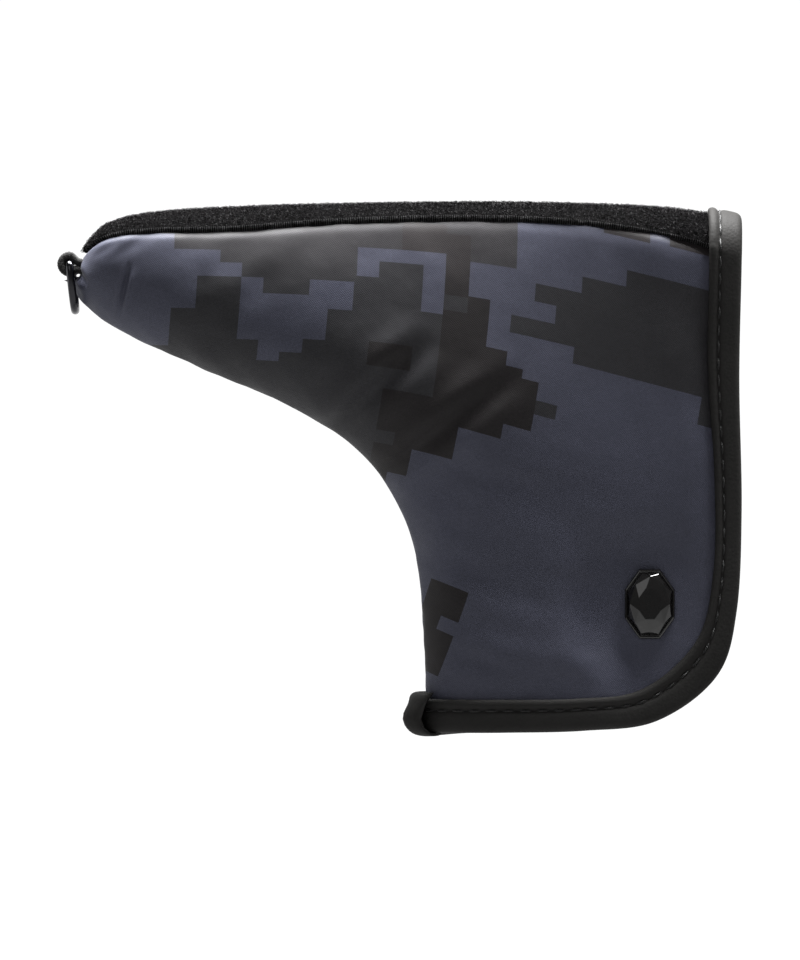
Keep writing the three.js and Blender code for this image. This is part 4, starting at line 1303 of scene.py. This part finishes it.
def cloth_finish(name, colour, thread, roughness, sheen, fuzz, shine=0.35, fleck=0.15,
                 painted_glint_power=1.0):
    f = Finish(name)
    weave = f.group("Twill weave", Thread=thread, Unevenness=1.2)
    patches = f.group("Uneven patches", Scale=120.0, Low=0.7, High=1.3)
    flecks = f.group("Uneven patches", Scale=1600.0, Low=1 - fleck, High=1 + fleck)
    # With a power above 1 the flecks turn into sparse bright specks, painted glints; at 1 they are
    # only uneven tone.
    flecks_and_painted_glints = maths(f.tree, "POWER", flecks["Value"], painted_glint_power)
    tinted = f.mix(1.0, colour, f.grey(weave["Tint"]), "MULTIPLY")
    tinted = f.mix(1.0, tinted, f.grey(flecks_and_painted_glints), "MULTIPLY")
    f.link(f.mix(1.0, tinted, f.grey(patches["Value"]), "MULTIPLY"), "Base Color")
    rough = f.group("Uneven patches", Scale=200.0, Low=roughness - 0.06, High=roughness + 0.04)
    f.link(rough["Value"], "Roughness")
    nap = f.group("Uneven patches", Scale=900.0, Low=0.0, High=1.0)
    fine = f.bump(weave["Height"], 0.0001, 0.6)
    f.link(f.bump(nap["Value"], fuzz, 0.8, fine), "Normal")
    f.set(Sheen_Weight=sheen, Sheen_Roughness=0.5, Specular_IOR_Level=shine)
    return f.material


def tape_finish(colour):
    """Pile backing, with ribbed selvages along both edges, their rib crests painted lighter as a
    painted highlight, and light specks that are partly uneven tone and partly painted glints.
    """
    f = Finish("tape_cloth")
    uv = node(f.tree, "ShaderNodeUVMap", uv_map="print").outputs[0]
    parts = node(f.tree, "ShaderNodeSeparateXYZ", {0: uv}).outputs
    run = maths(f.tree, "MULTIPLY", parts["X"], 2 * math.pi * 10 / 0.55)
    rib = maths(f.tree, "MULTIPLY_ADD", maths(f.tree, "SINE", run), 0.5, 0.5)
    side = maths(f.tree, "ABSOLUTE", parts["Y"])
    selvage = maths(f.tree, "GREATER_THAN", side, 1 - SELVAGE)
    nap = f.group("Uneven patches", Scale=1100.0, Low=0.0, High=1.0)
    # Light specks: partly uneven tone, partly painted glints of the pile.
    tint = f.group("Uneven patches", Scale=700.0, Low=0.55, High=1.7)
    ribs = maths(f.tree, "MULTIPLY", rib, selvage)
    # Painted highlight: the selvage's rib crests are painted up to sixteen times lighter.
    lit = f.mix(maths(f.tree, "MULTIPLY", ribs, 0.55), colour, tuple(16.0 * c for c in colour))
    f.link(f.mix(1.0, lit, f.grey(tint["Value"]), "MULTIPLY"), "Base Color")
    f.link(maths(f.tree, "MULTIPLY_ADD", ribs, -0.15, 0.92), "Roughness")
    fine = f.bump(nap["Value"], 0.0004, 1.0)
    f.link(f.bump(ribs, 0.0004, 1.0, fine), "Normal")
    f.set(Specular_IOR_Level=0.0)
    return f.material


def leather_finish(name, colour, roughness):
    f = Finish(name)
    grain = f.group("Leather grain", Pebbles=1300.0, Wear=0.9)
    patches = f.group("Uneven patches", Scale=45.0, Low=roughness - 0.05, High=roughness + 0.07)
    worn = tuple(1.8 * c for c in colour)
    f.link(f.mix(grain["Worn"], colour, worn), "Base Color")
    f.link(patches["Value"], "Roughness")
    f.link(f.bump(grain["Height"], 0.00009, 0.7), "Normal")
    f.set(Specular_IOR_Level=0.1)
    return f.material


def thread_finish(name, colour, roughness):
    f = Finish(name)
    weave = f.group("Twill weave", Thread=0.0003, Unevenness=0.4)
    f.link(f.mix(1.0, colour, f.grey(weave["Tint"]), "MULTIPLY"), "Base Color")
    rough = f.group("Uneven patches", Scale=400.0, Low=roughness - 0.08, High=roughness + 0.08)
    f.link(rough["Value"], "Roughness")
    f.link(f.bump(weave["Height"], 0.00008, 0.8), "Normal")
    f.set(Sheen_Weight=0.15)
    return f.material


def metal_finish(name, colour, low, high, metallic, coat):
    f = Finish(name)
    patches = f.group("Uneven patches", Scale=300.0, Low=low, High=high)
    tint = f.group("Uneven patches", Scale=80.0, Low=0.9, High=1.1)
    f.link(f.mix(1.0, colour, f.grey(tint["Value"]), "MULTIPLY"), "Base Color")
    f.link(patches["Value"], "Roughness")
    scuff = f.group("Uneven patches", Scale=700.0, Low=0.0, High=1.0)
    f.link(f.bump(scuff["Value"], 0.000002, 0.1), "Normal")
    f.set(Metallic=metallic, Coat_Weight=coat, Coat_Roughness=0.06)
    return f.material


def make_looks(colours):
    looks = {
        "print": print_finish(colours),
        "foam": cloth_finish("foam_sheet", (0.03, 0.03, 0.032), 0.0012, 0.95, 0.0, 0.0004),
        "fleece": cloth_finish("fleece", (0.014, 0.014, 0.016), 0.0016, 0.93, 0.5, 0.0006),
        "tape": tape_finish((0.0040, 0.0039, 0.0040)),
        # The pile thread has no specular or sheen; its bright specks are painted glints.
        "pile": cloth_finish(
            "pile_thread", (0.0085, 0.0082, 0.0084), 0.0006, 0.8, 0.0, 0.0001, 0.0, 0.95, 4.0),
        "leather": leather_finish("binding_leather", colours.binding, 0.64),
        "thread": thread_finish("sewing_thread", (0.008, 0.008, 0.008), 0.45),
        "ribbon": cloth_finish("grosgrain", (0.012, 0.0115, 0.011), 0.0004, 0.8, 0.2, 0.0001),
        "nickel": metal_finish("black_nickel", (0.045, 0.045, 0.05), 0.12, 0.24, 1.0, 0.3),
        "enamel": metal_finish("black_enamel", (0.006, 0.0055, 0.0055), 0.06, 0.14, 0.0, 1.0),
        "plate": metal_finish("zinc_plate", (0.42, 0.43, 0.44), 0.3, 0.45, 1.0, 0.0),
    }
    return looks


LOOKS = {}


def looks():
    if not LOOKS:
        LOOKS.update(make_looks(bpy.context.scene.cover_colours))
    return LOOKS


# ---- Stage ----


SEEN_PAPER, SEEN_WORLD = 0.9, 0.97  # how bright the lens sees the paper and what is beyond
GLOW_FROM, GLOW_TO = 0.1, 1.3  # where the paper starts to glow, and where it glows fully


def build_stage(settings):
    floor = settings.floor_z
    radius, width, front, back = 0.7, 6.0, -2.6, 1.6
    profile = [(front, floor)]
    for a in np.linspace(0, np.pi / 2, 24):
        profile.append((back + radius * math.sin(a), floor + radius * (1 - math.cos(a))))
    profile.append((back + radius, floor + 3.5))
    points = [(x, y, z) for x in (-width, width) for y, z in profile]
    n = len(profile)
    faces = [(k, n + k, n + k + 1, k + 1) for k in range(n - 1)]
    mesh = bpy.data.meshes.new("studio_sweep")
    mesh.from_pydata(points, [], faces)
    mesh.update()
    mesh.shade_smooth()
    f = Finish("studio_paper")
    patches = f.group("Uneven patches", Scale=3.0, Low=0.10, High=0.105)
    f.link(f.grey(patches["Value"]), "Base Color")
    # The paper glows towards the back, as if it were lit from behind.
    depth = node(f.tree, "ShaderNodeSeparateXYZ", {0: f.place}).outputs["Y"]
    glow = node(f.tree, "ShaderNodeMapRange", {
        "Value": depth, "From Min": GLOW_FROM, "From Max": GLOW_TO, "To Min": 0.0,
        "To Max": settings.paper_glow,
    }).outputs["Result"]
    # The lens sees the whole floor as pale as the paper behind the cover.
    seen = f.tree.nodes.new("ShaderNodeLightPath").outputs["Is Camera Ray"]
    pale = maths(f.tree, "MULTIPLY", seen, SEEN_PAPER)
    f.link(maths(f.tree, "MAXIMUM", glow, pale), "Emission Strength")
    f.set(Roughness=0.95, Emission_Color=(1, 1, 1, 1))
    mesh.materials.append(f.material)
    sweep = bpy.data.objects.new("studio_sweep", mesh)
    bpy.context.scene.collection.objects.link(sweep)


def area_light(name, at, target, size, power, tint=(1, 1, 1)):
    data = bpy.data.lights.new(name, "AREA")
    data.shape, data.size, data.size_y = "RECTANGLE", size[0], size[1]
    data.energy, data.color = power, tint
    lamp = bpy.data.objects.new(name, data)
    lamp.location = at
    lamp.rotation_euler = (Vector(target) - Vector(at)).to_track_quat("-Z", "Y").to_euler()
    bpy.context.scene.collection.objects.link(lamp)


def build_camera(settings):
    data = bpy.data.cameras.new("camera")
    data.sensor_width = 36.0
    distance = settings.camera_distance
    data.lens = 36.0 * distance / settings.view_height
    data.clip_start, data.clip_end = 0.05, 50.0
    camera = bpy.data.objects.new("camera", data)
    x, z = -0.031, 0.064
    camera.location = (x, -distance, z)
    camera.rotation_euler = (math.pi / 2, 0, 0)
    bpy.context.scene.collection.objects.link(camera)
    bpy.context.scene.camera = camera


def build_lights(settings):
    centre = (-0.03, 0, 0.065)
    area_light("top_softbox", (0.0, 0.12, 1.3), centre, (1.4, 0.6), settings.key_power)
    area_light("front_softbox", (-0.5, -1.5, 0.7), centre, (1.0, 1.0), settings.fill_power)
    area_light("left_kicker", (-1.1, 0.1, -0.02), centre, (0.5, 0.9), settings.rim_power)
    world = bpy.data.worlds.new("studio")
    world.use_nodes = True
    tree = world.node_tree
    background = tree.nodes["Background"]
    background.inputs["Color"].default_value = (1, 1, 1, 1)
    # The lens sees white beyond the paper, while the room itself is dimmer.
    seen = tree.nodes.new("ShaderNodeLightPath").outputs["Is Camera Ray"]
    strength = node(tree, "ShaderNodeMapRange", {
        "Value": seen, "To Min": settings.world_strength, "To Max": SEEN_WORLD,
    }).outputs["Result"]
    tree.links.new(strength, background.inputs["Strength"])
    bpy.context.scene.world = world
    bpy.context.scene.view_settings.view_transform = "Standard"


# ---- Add-on: settings, operators and panel ----


def colour_setting(name, description, value):
    return bpy.props.FloatVectorProperty(
        name=name, description=description, default=value, size=3, min=0, max=1,
        subtype="COLOR",
    )


class CoverColours(bpy.types.PropertyGroup):
    slate: colour_setting("Slate", "The print's ground", (0.065, 0.068, 0.098))
    charcoal: colour_setting("Charcoal", "The print's dark grey ink", (0.0265, 0.0260, 0.0295))
    grey: colour_setting("Grey", "The print's mid grey ink", (0.0360, 0.0340, 0.0375))
    brown: colour_setting("Brown", "The print's brown-black ink", (0.0140, 0.0116, 0.0124))
    # The brown ink painted lighter, as a painted highlight near the lit top of the panel.
    brown_painted_lit: colour_setting(
        "Brown with painted light", "The brown ink with painted light near the top", (0.030, 0.026, 0.0272),
    )
    binding: colour_setting("Binding", "The binding's leather", (0.0255, 0.0248, 0.0240))


class StageSettings(bpy.types.PropertyGroup):
    floor_z: bpy.props.FloatProperty(
        name="Floor height", description="The floor, below the hanging cover",
        default=-0.16, unit="LENGTH")
    camera_distance: bpy.props.FloatProperty(
        name="Camera distance", description="From the camera to the cover's middle plane",
        default=2.4, unit="LENGTH")
    view_height: bpy.props.FloatProperty(
        name="View height", description="Height of the picture at the cover", default=0.24,
        unit="LENGTH")
    key_power: bpy.props.FloatProperty(
        name="Top light", description="Power of the softbox overhead", default=145.0, unit="POWER")
    fill_power: bpy.props.FloatProperty(
        name="Front light", description="Power of the softbox in front", default=2.3, unit="POWER")
    rim_power: bpy.props.FloatProperty(
        name="Side light", description="Power of the light at the toe", default=2.0, unit="POWER")
    world_strength: bpy.props.FloatProperty(
        name="Room light", description="Strength of the even light all round", default=0.10)
    paper_glow: bpy.props.FloatProperty(
        name="Paper glow", description="Light through the paper behind the cover", default=0.4)


class PileSettings(bpy.types.PropertyGroup):
    density: bpy.props.FloatProperty(
        name="Pile density", description="Loops for each square metre of tape",
        default=4.2e6, min=0)


class CoverOperator(bpy.types.Operator):
    """Base of the operators that build the cover"""
    bl_options = {"REGISTER"}

    def execute(self, context):
        self.build(context.scene)
        return {"FINISHED"}


class COVER_OT_panels(CoverOperator):
    """Builds the two padded panels and their fleece"""
    bl_idname = "cover.panels"
    bl_label = "Padded panels"

    def build(self, scene):
        for side in (-1, 1):
            build_panel(side, looks())


class COVER_OT_sole(CoverOperator):
    """Builds the pile tape over the sole, its loops and its lining"""
    bl_idname = "cover.sole"
    bl_label = "Sole tape"

    def build(self, scene):
        build_sole(looks(), scene.cover_pile.density)


class COVER_OT_binding(CoverOperator):
    """Builds the folded binding round the mouth, its stitches and its lapped end"""
    bl_idname = "cover.binding"
    bl_label = "Binding"

    def build(self, scene):
        build_bindings(looks())
        build_lap(looks())


class COVER_OT_fittings(CoverOperator):
    """Builds the stud, the ribbon tab and the D-ring, and finishes the hidden fittings"""
    bl_idname = "cover.fittings"
    bl_label = "Fittings"

    def build(self, scene):
        build_stud(looks())
        build_tab(looks())
        build_ring(looks())
        for name in ("stud_washer", "front_magnet", "back_magnet"):
            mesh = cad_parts[name].data
            mesh.materials.clear()
            mesh.materials.append(looks()["plate"])


class COVER_OT_stage(CoverOperator):
    """Builds the pale sweep, the lights and the camera"""
    bl_idname = "cover.stage"
    bl_label = "Stage"

    def build(self, scene):
        build_stage(scene.cover_stage)
        build_camera(scene.cover_stage)
        build_lights(scene.cover_stage)


OPERATORS = (
    COVER_OT_stage, COVER_OT_panels, COVER_OT_sole, COVER_OT_binding, COVER_OT_fittings,
)


class COVER_PT_panel(bpy.types.Panel):
    """Lists the steps that build the cover"""
    bl_label = "Head Cover"
    bl_space_type = "VIEW_3D"
    bl_region_type = "UI"
    bl_category = "Head Cover"

    def draw(self, context):
        for operator in OPERATORS:
            self.layout.operator(operator.bl_idname)
        for group in (context.scene.cover_colours, context.scene.cover_pile,
                      context.scene.cover_stage):
            for name in group.__annotations__:
                self.layout.prop(group, name)


CLASSES = (CoverColours, StageSettings, PileSettings, *OPERATORS, COVER_PT_panel)


def register():
    for cls in CLASSES:
        bpy.utils.register_class(cls)
    bpy.types.Scene.cover_colours = bpy.props.PointerProperty(type=CoverColours)
    bpy.types.Scene.cover_stage = bpy.props.PointerProperty(type=StageSettings)
    bpy.types.Scene.cover_pile = bpy.props.PointerProperty(type=PileSettings)


def unregister():
    del bpy.types.Scene.cover_colours, bpy.types.Scene.cover_stage, bpy.types.Scene.cover_pile
    for cls in reversed(CLASSES):
        bpy.utils.unregister_class(cls)


def main():
    register()
    for operator in OPERATORS:
        group, name = operator.bl_idname.split(".")
        getattr(getattr(bpy.ops, group), name)()
    bpy.context.view_layer.update()


if __name__ == "__main__":
    main()
